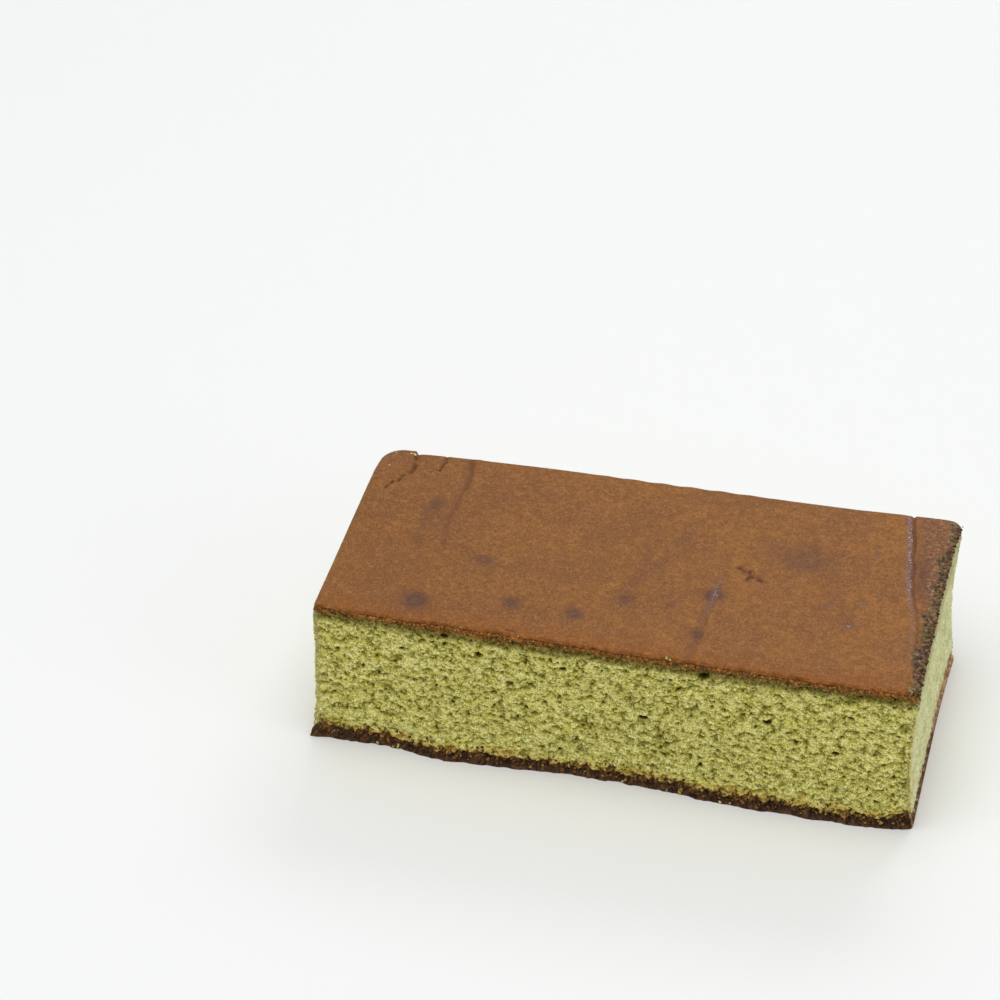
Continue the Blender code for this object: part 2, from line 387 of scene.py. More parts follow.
def lid_skin():
    """The top, with the moulded rim rolled over and down to the lip's lower edge."""
    rolled = RIM_RADIUS * (np.pi / 2 - 1) + LIP_DROP - RIM_RADIUS
    along = steps(LENGTH / 2 + rolled, -LENGTH / 2 - rolled, TOP_STEP)
    across = steps(-WIDTH / 2, WIDTH / 2 + rolled, TOP_STEP)
    u, v = np.meshgrid(along, across)
    core_x, core_y, level, far, corner = plan_grid(u, v)
    past_flat = far - (corner - RIM_RADIUS)
    roll = np.clip(past_flat / RIM_RADIUS, 0, np.pi / 2)
    drop = np.clip(past_flat - RIM_RADIUS * np.pi / 2, 0, None)
    out = np.minimum(far, corner - RIM_RADIUS) + RIM_RADIUS * np.sin(roll)
    z = HEIGHT - RIM_RADIUS * (1 - np.cos(roll)) - drop
    points = np.stack([core_x + level[..., 0] * out, core_y + level[..., 1] * out, z], -1)
    flat = np.sin(roll)
    outward = np.stack([level[..., 0] * flat, level[..., 1] * flat, np.cos(roll)], -1)
    return Skin("top_crust", points, outward)


def base_skin():
    """The underside, out to the foot of each side."""
    along = steps(-LENGTH / 2, LENGTH / 2, BASE_STEP)
    across = steps(-WIDTH / 2, WIDTH / 2, BASE_STEP)
    u, v = np.meshgrid(along, across)
    core_x, core_y, level, far, corner = plan_grid(u, v)
    x, y = core_x + level[..., 0] * far, core_y + level[..., 1] * far
    return Skin("base_crust", np.stack([x, y, np.zeros_like(x)], -1), (0.0, 0.0, -1.0))


def block_origin():
    """Where the middle of the plain block's base lies, so that the sculpted loaf fills the box."""
    skins = (left_skin(), right_skin(), back_skin(), cut_skin())
    places = sculpted(np.concatenate([skin.points.reshape(-1, 3) for skin in skins]))
    middle = (places.min(0) + places.max(0)) / 2
    low, high = np.array(CAD_BOX)
    return ((low + high) / 2 - middle) * (1, 1, 0)


BLOCK_ORIGIN = block_origin()


# ---------------------------------------------------------------- closed meshes from skins

def border_loop(rows, columns):
    """The grid's border, as indexes, in the order that turns the back faces outwards."""
    grid = np.arange(rows * columns).reshape(rows, columns)
    return np.concatenate([grid[0, :-1], grid[:-1, -1], grid[-1, :0:-1], grid[:0:-1, 0]])


def inner_place(points):
    """Where block points go on the mitred back, which is a smaller block inside the loaf."""
    size = np.array([LENGTH, WIDTH, HEIGHT])
    middle = np.array([0, 0, HEIGHT / 2])
    return middle + (points - middle) * (1 - 2 * BACK_DEPTH / size)


BACK_STRIP = 0.02


def bake_map(mesh, rows, columns, quads, ring_length):
    """Lays the sheet over nearly all of a square map, and the hidden back in a strip below."""
    row, column = np.divmod(quads, columns)
    sheet = np.stack([
        column / (columns - 1),
        2 * BACK_STRIP + (1 - 2 * BACK_STRIP) * row / (rows - 1),
    ], -1).reshape(-1, 2)
    share = np.arange(ring_length + 1) / ring_length
    low, high = 0.0, BACK_STRIP / 2
    ring = np.stack([
        np.stack([share[:-1], np.full(ring_length, high)], -1),
        np.stack([share[1:], np.full(ring_length, high)], -1),
        np.stack([share[1:], np.full(ring_length, low)], -1),
        np.stack([share[:-1], np.full(ring_length, low)], -1),
    ], 1).reshape(-1, 2)
    turn = 2 * np.pi * share[:-1]
    cap = np.stack([
        0.5 + 0.5 * np.cos(turn),
        BACK_STRIP * (1.25 + 0.45 * np.sin(turn)),
    ], -1)
    layer = mesh.uv_layers.new(name="OFBake")
    layer.uv.foreach_set("vector", np.concatenate([sheet, ring, cap]).astype(np.float32).ravel())


def add_mark(mesh, name, values, kind="FLOAT"):
    mark = mesh.attributes.new(name, kind, "POINT")
    field = "vector" if kind == "FLOAT_VECTOR" else "value"
    mark.data.foreach_set(field, np.ascontiguousarray(values, dtype=np.float32).ravel())


def crease_border(mesh, loop):
    """Marks the sheet's border sharp, so that its shading runs on into the next sheet."""
    at_border = np.zeros(len(mesh.vertices), bool)
    at_border[loop] = True
    ends = np.empty(2 * len(mesh.edges), np.int32)
    mesh.edges.foreach_get("vertices", ends)
    sharp = at_border[ends.reshape(-1, 2)].all(1)
    mesh.attributes.new("sharp_edge", "BOOLEAN", "EDGE").data.foreach_set("value", sharp)


def skin_object(skin):
    """Makes the skin a closed object: its sculpted and chipped sheet, a mitred ring and a back."""
    rows, columns = skin.points.shape[:2]
    loop = border_loop(rows, columns)
    sheet = sculpted(skin.points) + rolled(skin.points) + worn(skin.points)
    hidden = inner_place(skin.points.reshape(-1, 3)[loop])
    places = np.concatenate([sheet.reshape(-1, 3), hidden]) + BLOCK_ORIGIN
    places = np.clip(places, *CAD_BOX)
    grid = np.arange(rows * columns).reshape(rows, columns)
    corners = (grid[:-1, :-1], grid[1:, :-1], grid[1:, 1:], grid[:-1, 1:])
    quads = np.stack(corners, -1).reshape(-1, 4)
    inner = rows * columns + np.arange(len(loop))
    ring = np.stack([loop, np.roll(loop, -1), np.roll(inner, -1), inner], -1)
    mesh = bpy.data.meshes.new(skin.name)
    mesh.from_pydata(places, [], [*quads.tolist(), *ring.tolist(), inner.tolist()])
    bake_map(mesh, rows, columns, quads, len(loop))
    empty = np.zeros(len(loop))
    fade = np.clip(skin.near_edge / EDGE_FADE, 0, 1)
    relief = np.concatenate([(fade**2 * (3 - 2 * fade)).ravel(), empty])
    add_mark(mesh, "relief", relief)
    outward = np.concatenate([skin.outward.reshape(-1, 3), np.zeros((len(loop), 3))])
    add_mark(mesh, "outward", outward, "FLOAT_VECTOR")
    for name, values in skin.marks.items():
        add_mark(mesh, name, np.concatenate([np.ravel(values), empty]))
    mesh.shade_smooth()
    crease_border(mesh, loop)
    return new_object(skin.name, mesh)


def new_object(name, mesh):
    item = bpy.data.objects.new(name, mesh)
    bpy.context.scene.collection.objects.link(item)
    return item


# ---------------------------------------------------------------- node building

class Web:
    """Adds nodes to a shader or Geometry Nodes tree, and joins them."""

    def __init__(self, tree):
        self.tree = tree

    def node(self, kind, **settings):
        item = self.tree.nodes.new(kind)
        for name, value in settings.items():
            setattr(item, name, value)
        return item

    def feed(self, socket, value):
        if isinstance(value, bpy.types.NodeSocket):
            self.tree.links.new(value, socket)
        else:
            socket.default_value = value

    def math(self, operation, first, second=0.0, clamp=False):
        item = self.node("ShaderNodeMath", operation=operation, use_clamp=clamp)
        self.feed(item.inputs[0], first)
        self.feed(item.inputs[1], second)
        return item.outputs[0]

    def vector(self, operation, first, second=(0.0, 0.0, 0.0)):
        item = self.node("ShaderNodeVectorMath", operation=operation)
        self.feed(item.inputs[0], first)
        if operation == "SCALE":
            self.feed(item.inputs["Scale"], second)
        else:
            self.feed(item.inputs[1], second)
        return item.outputs[0]

    def ramp(self, value, low, high, start=0.0, end=1.0, kind="SMOOTHSTEP"):
        """Goes from start to end as value goes from low to high, and stays level outside."""
        item = self.node("ShaderNodeMapRange", interpolation_type=kind, clamp=True)
        for socket, given in zip(item.inputs, (value, low, high, start, end)):
            self.feed(socket, given)
        return item.outputs[0]

    def noise(self, place, size, detail=2.0, roughness=0.5, colour=False):
        item = self.node("ShaderNodeTexNoise", noise_dimensions="3D")
        self.feed(item.inputs["Vector"], place)
        self.feed(item.inputs["Scale"], 1 / size)
        self.feed(item.inputs["Detail"], detail)
        self.feed(item.inputs["Roughness"], roughness)
        return item.outputs[1 if colour else 0]

    def cells(self, place, feature="F1"):
        """Cells one unit wide: the distance to the nearest centre, and a value for each cell."""
        item = self.node("ShaderNodeTexVoronoi", voronoi_dimensions="3D", feature=feature)
        self.feed(item.inputs["Vector"], place)
        self.feed(item.inputs["Scale"], 1.0)
        split = self.node("ShaderNodeSeparateXYZ")
        self.tree.links.new(item.outputs["Color"], split.inputs[0])
        return item.outputs["Distance"], split.outputs[0], split.outputs[1]

    def height(self, place):
        """How high a place lies."""
        item = self.node("ShaderNodeSeparateXYZ")
        self.feed(item.inputs[0], place)
        return item.outputs[2]

    def bands(self, value, *stops):
        """A colour that runs through the given stops, each a value and a colour."""
        item = self.node("ShaderNodeValToRGB")
        stop_list = item.color_ramp.elements
        while len(stop_list) < len(stops):
            stop_list.new(0.5)
        for stop, (position, colour) in zip(stop_list, stops):
            stop.position = position
            stop.color = colour
        self.feed(item.inputs[0], value)
        return item.outputs[0]

    def blend(self, share, first, second):
        """A colour between first and second."""
        item = self.node("ShaderNodeMix", data_type="RGBA", clamp_factor=True)
        self.feed(item.inputs[0], share)
        self.feed(item.inputs[6], first)
        self.feed(item.inputs[7], second)
        return item.outputs[2]


def srgb(red, green, blue):
    """A colour given as it looks on a screen, from 0 to 255, as a shader needs it."""
    parts = [c / 255 for c in (red, green, blue)]
    linear = [p / 12.92 if p <= 0.04045 else ((p + 0.055) / 1.055) ** 2.4 for p in parts]
    return (*linear, 1.0)


# ---------------------------------------------------------------- Geometry Nodes

def new_tree(name, inputs):
    """A Geometry Nodes tree with the named inputs, given as name: (kind, value)."""
    tree = bpy.data.node_groups.new(name, "GeometryNodeTree")
    tree.is_modifier = True
    face = tree.interface
    face.new_socket("Geometry", in_out="INPUT", socket_type="NodeSocketGeometry")
    face.new_socket("Geometry", in_out="OUTPUT", socket_type="NodeSocketGeometry")
    for label, (kind, value) in inputs.items():
        socket = face.new_socket(label, in_out="INPUT", socket_type="NodeSocket" + kind)
        if value is not None:
            socket.default_value = value
    web = Web(tree)
    return tree, web, web.node("NodeGroupInput"), web.node("NodeGroupOutput")


def mark_value(web, name, kind="FLOAT"):
    item = web.node("GeometryNodeInputNamedAttribute", data_type=kind)
    item.inputs["Name"].default_value = name
    return item.outputs[0]


def store(web, geometry, name, value):
    item = web.node("GeometryNodeStoreNamedAttribute", data_type="FLOAT", domain="POINT")
    web.feed(item.inputs["Geometry"], geometry)
    item.inputs["Name"].default_value = name
    web.feed(item.inputs["Value"], value)
    return item.outputs[0]


def finish_tree(web, geometry, source, target):
    """Every tree ends with real meshes that wear the tree's material."""
    real = web.node("GeometryNodeRealizeInstances")
    web.feed(real.inputs[0], geometry)
    worn = web.node("GeometryNodeSetMaterial")
    web.feed(worn.inputs["Geometry"], real.outputs[0])
    web.feed(worn.inputs["Material"], source.outputs["Material"])
    web.feed(target.inputs[0], worn.outputs[0])


def crumb_tree():
    """Carves an open crumb into a skin, inwards from its face: torn pits, bubbles and grain.

    It leaves the marks pit (how deep a place lies), clump (a value for each lump), crust_nearness
    (1 at the top crust, 0 well below it) and scorched (1 at the base, 0 well above it).
    """
    tree, web, source, target = new_tree("open_crumb", {
        "Flatness": ("Float", 0.71),
        "Pit Width": ("Float", 2.4 * MM),
        "Pit Depth": ("Float", 1.15 * MM),
        "Bubble Width": ("Float", 2.5 * MM),
        "Bubble Depth": ("Float", 0.9 * MM),
        "Small Width": ("Float", 1.42 * MM),
        "Small Depth": ("Float", 0.75 * MM),
        "Grain Width": ("Float", 0.52 * MM),
        "Grain Depth": ("Float", 0.35 * MM),
        "Wave Width": ("Float", 4.4 * MM),
        "Wave Depth": ("Float", 0.8 * MM),
        "Hole Depth": ("Float", 1.9 * MM),
        "Tear": ("Float", 1.0 * MM),
        "Base Height": ("Float", 3.9 * MM),
        "Base Raggedness": ("Float", 8.0 * MM),
        "Base End Rise": ("Float", 2.2 * MM),
        "Base Lump Width": ("Float", 2.6 * MM),
        "Base Lump Height": ("Float", 1.2 * MM),
        "Base Recess": ("Float", 1.1 * MM),
        "Rim Height": ("Float", 4.1 * MM),
        "Rim Raggedness": ("Float", 5.0 * MM),
        "Rim Recess": ("Float", 0.45 * MM),
        "Side Raise": ("Float", 0.0),
        "Top": ("Float", HEIGHT),
        "Material": ("Material", None),
    })
    given = source.outputs
    place = web.node("GeometryNodeInputPosition").outputs[0]
    relief = mark_value(web, "relief")
    outward = mark_value(web, "outward", "FLOAT_VECTOR")
    hole = mark_value(web, "hole")

    def times(first, second):
        return web.math("MULTIPLY", first, second)

    def total(*terms):
        result = terms[0]
        for term in terms[1:]:
            result = web.math("ADD", result, term)
        return result

    tear_noise = web.noise(place, 1.3 * MM, 2.0, 0.6, colour=True)
    tear = web.vector("SCALE", web.vector("SUBTRACT", tear_noise, (0.5, 0.5, 0.5)), given["Tear"])
    squeeze = web.node("ShaderNodeCombineXYZ")
    web.feed(squeeze.inputs[0], 1.0)
    web.feed(squeeze.inputs[1], 1.0)
    web.feed(squeeze.inputs[2], web.math("DIVIDE", 1.0, given["Flatness"]))
    torn = web.vector("MULTIPLY", web.vector("ADD", place, tear), squeeze.outputs[0])

    def spread(width, layer):
        """The place in units of this width, moved on for each layer so that none line up."""
        scaled = web.vector("SCALE", torn, web.math("DIVIDE", 1.0, width))
        return web.vector("ADD", scaled, (17.3 * layer, 5.9 * layer, 11.7 * layer))

    pit_noise = web.noise(spread(given["Pit Width"], 1), 1.0, 3.0, 0.6)
    pits = web.ramp(pit_noise, 0.48, 0.66, 0.0, 1.0)
    ridge = web.ramp(pit_noise, 0.34, 0.50, 1.0, 0.0)
    small_gap, small_pick, _ = web.cells(spread(given["Small Width"], 2))
    small_radius = web.ramp(small_pick, 0.0, 1.0, 0.16, 0.58, "LINEAR")
    small = web.ramp(web.math("DIVIDE", small_gap, small_radius), 0.35, 1.0, 1.0, 0.0)
    distance, pick, _ = web.cells(spread(given["Bubble Width"], 3))
    radius = web.ramp(pick, 0.35, 1.0, 0.02, 0.50, "LINEAR")
    bubbles = web.ramp(web.math("DIVIDE", distance, radius), 0.3, 1.0, 1.0, 0.0)
    grain = web.noise(spread(given["Grain Width"], 4), 1.0, 2.0, 0.6)
    wave = web.noise(spread(given["Wave Width"], 5), 1.0, 2.0, 0.5)

    height = web.height(place)
    ragged_noise = web.math("SUBTRACT", web.noise(place, 2.8 * MM, 3.0, 0.6), 0.5)
    drift = web.math("SUBTRACT", web.noise(place, 14 * MM, 1.0, 0.5), 0.5)
    uneven = web.math("ADD", ragged_noise, web.math("MULTIPLY", drift, 0.2))
    base_gap, clump, _ = web.cells(spread(given["Base Lump Width"], 6))
    mounds = web.ramp(base_gap, 0.1, 0.8, 0.0, 1.0)
    split = web.node("ShaderNodeSeparateXYZ")
    web.feed(split.inputs[0], place)
    ends = web.ramp(web.math("ABSOLUTE", split.outputs[0]), LENGTH / 2 - 9 * MM, LENGTH / 2)
    base_line = total(
        given["Base Height"],
        times(ends, given["Base End Rise"]),
        times(uneven, given["Base Raggedness"]),
        times(web.math("SUBTRACT", mounds, 0.5), 1.6 * MM),
    )
    over_base = web.math("SUBTRACT", height, base_line)
    scorched = web.ramp(over_base, -3.0 * MM, 3.0 * MM, 1.0, 0.0, "LINEAR")
    below_top = web.math("SUBTRACT", given["Top"], height)
    rim_line = web.math("ADD", given["Rim Height"], times(uneven, given["Rim Raggedness"]))
    under_rim = web.math("SUBTRACT", below_top, rim_line)
    crust_nearness = web.ramp(under_rim, -4.4 * MM, 4.4 * MM, 1.0, 0.0, "LINEAR")

    in_base = web.ramp(scorched, 0.46, 0.72, 0.0, 1.0)
    in_rim = web.ramp(crust_nearness, 0.57, 0.74, 0.0, 1.0)
    calm = web.math("SUBTRACT", 1.0, times(web.math("MAXIMUM", in_base, in_rim), 0.5))
    crumb = total(
        times(pits, given["Pit Depth"]),
        times(bubbles, given["Bubble Depth"]),
        times(small, given["Small Depth"]),
        times(hole, given["Hole Depth"]),
    )
    base_part = times(in_base, total(times(mounds, given["Base Lump Height"]), given["Base Recess"]))
    just_under = times(web.ramp(crust_nearness, 0.36, 0.53, 0.0, 1.0), web.ramp(crust_nearness, 0.60, 0.76, 1.0, 0.0))
    carved = total(
        times(crumb, calm),
        times(grain, given["Grain Depth"]),
        times(wave, given["Wave Depth"]),
        base_part,
        times(just_under, given["Rim Recess"]),
    )
    pit = total(times(pits, 0.60), times(small, 0.46), times(bubbles, 0.5))
    pit = times(web.math("MAXIMUM", pit, hole), relief)

    stored = store(web, source.outputs[0], "pit", pit)
    stored = store(web, stored, "hole", hole)
    stored = store(web, stored, "clump", clump)
    stored = store(web, stored, "ridge", ridge)
    stored = store(web, stored, "crust_nearness", crust_nearness)
    stored = store(web, stored, "scorched", scorched)
    move = web.node("GeometryNodeSetPosition")
    web.feed(move.inputs["Geometry"], stored)
    outwards = times(web.math("SUBTRACT", given["Side Raise"], carved), relief)
    web.feed(move.inputs["Offset"], web.vector("SCALE", outward, outwards))
    finish_tree(web, move.outputs[0], source, target)
    return tree


def skin_tree():
    """Gives a baked skin its grain and pores, on top of the furrows marked as sink."""
    tree, web, source, target = new_tree("baked_skin", {
        "Grain Width": ("Float", 1.3 * MM),
        "Grain Depth": ("Float", 0.07 * MM),
        "Pore Width": ("Float", 7.0 * MM),
        "Pore Depth": ("Float", 0.18 * MM),
        "Rough Depth": ("Float", 0.5 * MM),
        "Material": ("Material", None),
    })
    given = source.outputs
    place = web.node("GeometryNodeInputPosition").outputs[0]
    relief = mark_value(web, "relief")
    outward = mark_value(web, "outward", "FLOAT_VECTOR")
    sink = mark_value(web, "sink")
    rough = mark_value(web, "rough")

    fine = web.vector("SCALE", place, web.math("DIVIDE", 1.0, given["Grain Width"]))
    grain = web.noise(fine, 1.0, 3.0, 0.65)
    pore_place = web.vector("SCALE", place, web.math("DIVIDE", 1.0, given["Pore Width"]))
    distance, pick, _ = web.cells(pore_place)
    radius = web.ramp(pick, 0.45, 1.0, 0.01, 0.11, "LINEAR")
    pore = web.math("SUBTRACT", 1.0, web.math("DIVIDE", distance, radius), clamp=True)
    coarse = web.noise(place, 1.4 * MM, 3.0, 0.65)

    depth = web.math("MULTIPLY", grain, given["Grain Depth"])
    depth = web.math("ADD", depth, web.math("MULTIPLY", pore, given["Pore Depth"]))
    pitted = web.math("MULTIPLY", web.math("MULTIPLY", coarse, rough), given["Rough Depth"])
    depth = web.math("MULTIPLY", web.math("ADD", depth, pitted), relief)
    depth = web.math("ADD", depth, sink)
    stored = store(web, source.outputs[0], "pore", web.math("MULTIPLY", pore, relief))
    move = web.node("GeometryNodeSetPosition")
    web.feed(move.inputs["Geometry"], stored)
    web.feed(move.inputs["Offset"], web.vector("SCALE", outward, web.math("MULTIPLY", depth, -1.0)))
    finish_tree(web, move.outputs[0], source, target)
    return tree


# ---------------------------------------------------------------- clinging crumbs

PEBBLE_DETAIL = 2


def pebble_tree():
    """Puts a small torn lump of cake on each point, as wide as the point's mark size says."""
    tree, web, source, target = new_tree("clinging_crumbs", {
        "Lumpiness": ("Float", 0.8),
        "Lump Share": ("Float", 0.9),
        "Flatness": ("Float", 0.75),
        "Seed": ("Int", 5),
        "Material": ("Material", None),
    })
    given = source.outputs
    ball = web.node("GeometryNodeMeshIcoSphere")
    ball.inputs["Radius"].default_value = 1.0
    ball.inputs["Subdivisions"].default_value = PEBBLE_DETAIL
    turn = web.node("FunctionNodeRandomValue", data_type="FLOAT_VECTOR")
    turn.inputs["Max"].default_value = (6.28, 6.28, 6.28)
    web.feed(turn.inputs["Seed"], given["Seed"])
    to_turn = web.node("FunctionNodeEulerToRotation")
    web.feed(to_turn.inputs[0], turn.outputs[0])
    size = web.node("ShaderNodeCombineXYZ")
    radius = web.math("MULTIPLY", mark_value(web, "size"), 0.5)
    web.feed(size.inputs[0], radius)
    web.feed(size.inputs[1], radius)
    web.feed(size.inputs[2], web.math("MULTIPLY", radius, given["Flatness"]))
    many = web.node("GeometryNodeInstanceOnPoints")
    web.feed(many.inputs["Points"], source.outputs[0])
    web.feed(many.inputs["Instance"], ball.outputs["Mesh"])
    web.feed(many.inputs["Rotation"], to_turn.outputs[0])
    web.feed(many.inputs["Scale"], size.outputs[0])
    real = web.node("GeometryNodeRealizeInstances")
    web.feed(real.inputs[0], many.outputs[0])
    normal = web.node("GeometryNodeInputNormal").outputs[0]
    width = mark_value(web, "size")
    place = web.node("GeometryNodeInputPosition").outputs[0]
    lump_place = web.vector("SCALE", place, web.math("DIVIDE", given["Lump Share"], width))
    lump = web.math("SUBTRACT", web.noise(lump_place, 0.45, 1.0, 0.6), 0.72)
    push = web.math("MULTIPLY", web.math("MULTIPLY", lump, width), given["Lumpiness"])
    move = web.node("GeometryNodeSetPosition")
    web.feed(move.inputs["Geometry"], real.outputs[0])
    web.feed(move.inputs["Offset"], web.vector("SCALE", normal, push))
    finish_tree(web, move.outputs[0], source, target)
    return tree


def run_tree(item, tree, material, sizes):
    """Runs a tree on the object with these input values, and keeps the result as its mesh."""
    modifier = item.modifiers.new(tree.name, "NODES")
    modifier.node_group = tree
    wanted = {name.replace("_", " ").title(): value for name, value in sizes.items()}
    wanted["Material"] = material
    unknown = set(wanted)
    for socket in tree.interface.items_tree:
        if socket.in_out == "INPUT" and socket.name in wanted:
            modifier[socket.identifier] = wanted[socket.name]
            unknown.discard(socket.name)
    assert not unknown, unknown
    depsgraph = bpy.context.evaluated_depsgraph_get()
    mesh = bpy.data.meshes.new_from_object(
        item.evaluated_get(depsgraph), preserve_all_data_layers=True, depsgraph=depsgraph
    )
    item.modifiers.clear()
    item.data = mesh
    mesh.name = item.name
    return item


def run_skin(skin, tree, material, **sizes):
    return run_tree(skin_object(skin), tree, material, sizes)


def crumb_points(name, points, widths, tints, tree, material, **sizes):
    """Lays a crumb on each of the points, which are places on the finished cake."""
    mesh = bpy.data.meshes.new(name)
    mesh.from_pydata(points + BLOCK_ORIGIN, [], [])
    add_mark(mesh, "size", widths)
    add_mark(mesh, "tint", tints)
    item = run_tree(new_object(name, mesh), tree, material, sizes)
    item.data.shade_smooth()
    return item


# ---------------------------------------------------------------- marks on the top skin

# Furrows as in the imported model: paths in halves of the length and of the width
FURROWS = {
    "left_crease": ((-0.68, 0.92), (-0.67, 0.70), (-0.68, 0.15), (-0.65, -0.31)),
    "middle_crease": ((0.29, 0.14), (0.27, -0.11), (0.26, -0.60), (0.25, -0.93)),
    "right_fold": ((0.82, 1.08), (0.86, 0.66), (0.90, 0.11), (0.93, -0.15), (0.95, -0.60)),
}

# Torn cracks: path, width, how deep, and how dark
CRACKS = (
    (((-0.883, 1.05), (-0.872, 0.85), (-0.867, 0.76), (-0.873, 0.71), (-0.882, 0.68)), 1.1, 0.75, 0.9),
    (((-0.890, 0.67), (-0.894, 0.66), (-0.899, 0.62), (-0.902, 0.586)), 0.9, 0.55, 1.0),
    (((-0.918, 0.572), (-0.927, 0.517), (-0.937, 0.48)), 0.9, 0.55, 1.0),
    (((-0.774, 1.0), (-0.771, 0.904), (-0.776, 0.881), (-0.779, 0.833), (-0.78, 0.791)), 1.0, 0.5, 0.9),
    (((-0.78, 0.791), (-0.794, 0.806), (-0.801, 0.784), (-0.808, 0.744)), 0.7, 0.4, 0.8),
    (((-0.822, 0.711), (-0.819, 0.66)), 0.8, 0.3, 0.6),
    (((-0.806, 0.556), (-0.804, 0.548)), 0.9, 0.2, 0.5),
    (((-0.812, 0.53), (-0.817, 0.502)), 0.9, 0.2, 0.35),
    (((0.322, 0.13), (0.338, 0.112), (0.36, 0.069), (0.387, 0.035), (0.418, 0.018)), 1.9, 0.3, 1.1),
    (((0.36, 0.118), (0.355, 0.06), (0.357, 0.0)), 1.3, 0.25, 1.0),
    (((-0.352, -0.942), (-0.338, -0.936), (-0.325, -0.938)), 1.1, 0.25, 0.85),
    (((0.77, 0.71), (0.783, 0.73)), 1.0, 0.2, 0.5),
)

# The torn flap in the back left corner: where it starts, and how far the top steps down past it
FLAP_EDGE = -79.0 * MM
FLAP_FRONT = 26 * MM
FLAP_LIFT = 0.1 * MM
FLAP_DROP = 0.9 * MM

# Fainter lines, shallow furrows darkened with painted shade: path, width in millimetres, how deep in millimetres,
# and how dark
FAINT_LINES = (
    (((-0.74, 0.43), (-0.755, 0.20), (-0.75, -0.14)), 5.0, 0.10, 0.16),
    (((0.13, 0.50), (0.07, 0.10), (0.01, -0.19)), 4.0, 0.08, 0.14),
    (((0.03, 0.38), (0.0, -0.05), (-0.02, -0.48)), 4.0, 0.08, 0.12),
    (((0.66, -0.05), (0.70, -0.20), (0.715, -0.36)), 3.0, 0.05, 0.10),
)

# Bruised spots: place in halves of the length and of the width, width in millimetres, strength
SPOTS = (
    (-0.68, -0.76, 9.0, 0.95),
    (-0.51, -0.21, 6.5, 0.55),
    (-0.37, -0.64, 6.0, 0.75),
    (-0.16, -0.65, 6.5, 0.75),
    (-0.01, -0.40, 5.0, 0.5),
    (0.14, -0.38, 4.0, 0.25),
    (0.265, -0.22, 7.0, 0.85),
    (0.25, -0.66, 5.0, 0.6),
    (0.52, 0.35, 18.0, 0.4),
    (-0.74, 0.35, 7.0, 0.35),
)

# Small shiny dents: place, and width in millimetres
DENTS = (
    (0.750, -0.073, 1.9),
    (0.721, -0.330, 2.2),
    (0.640, -0.135, 1.4),
    (0.753, 0.564, 0.9),
    (0.756, 0.51, 1.0),
    (0.758, 0.463, 0.9),
    (0.275, -0.09, 1.0),
    (0.275, -0.14, 0.9),
)


def path_distance(x, y, path):
    """Distance to a path, the share run along it, and how far it lies to the path's left."""
    corners = np.array(path) * (LENGTH / 2, WIDTH / 2)
    lengths = np.linalg.norm(np.diff(corners, axis=0), axis=1)
    starts = np.concatenate([[0], np.cumsum(lengths)])
    best = np.full(np.shape(x), np.inf)
    run = np.zeros(np.shape(x))
    side = np.zeros(np.shape(x))
    for start, end, before, length in zip(corners[:-1], corners[1:], starts, lengths):
        direction = (end - start) / length
        along = (x - start[0]) * direction[0] + (y - start[1]) * direction[1]
        along = np.clip(along, 0, length)
        off_x = x - start[0] - along * direction[0]
        off_y = y - start[1] - along * direction[1]
        distance = np.hypot(off_x, off_y)
        nearer = distance < best
        best = np.where(nearer, distance, best)
        run = np.where(nearer, (before + along) / starts[-1], run)
        side = np.where(nearer, direction[0] * off_y - direction[1] * off_x, side)
    return best, run, side


def smooth_path(path, count=24):
    """A smooth path through the given points."""
    points = np.array(path)
    ends = [2 * points[0] - points[1], *points, 2 * points[-1] - points[-2]]
    result = []
    for before, start, end, after in zip(ends, ends[1:], ends[2:], ends[3:]):
        for t in np.linspace(0, 1, count // (len(path) - 1), endpoint=False):
            result.append(0.5 * (
                2 * start
                + (end - before) * t
                + (2 * before - 5 * start + 4 * end - after) * t**2
                + (3 * start - before - 3 * end + after) * t**3
            ))
    return np.array([*result, points[-1]])


def bell(distance, width):
    """1 in the middle and almost 0 at half the width away."""
    return np.exp(-((2.0 * distance / width) ** 2))


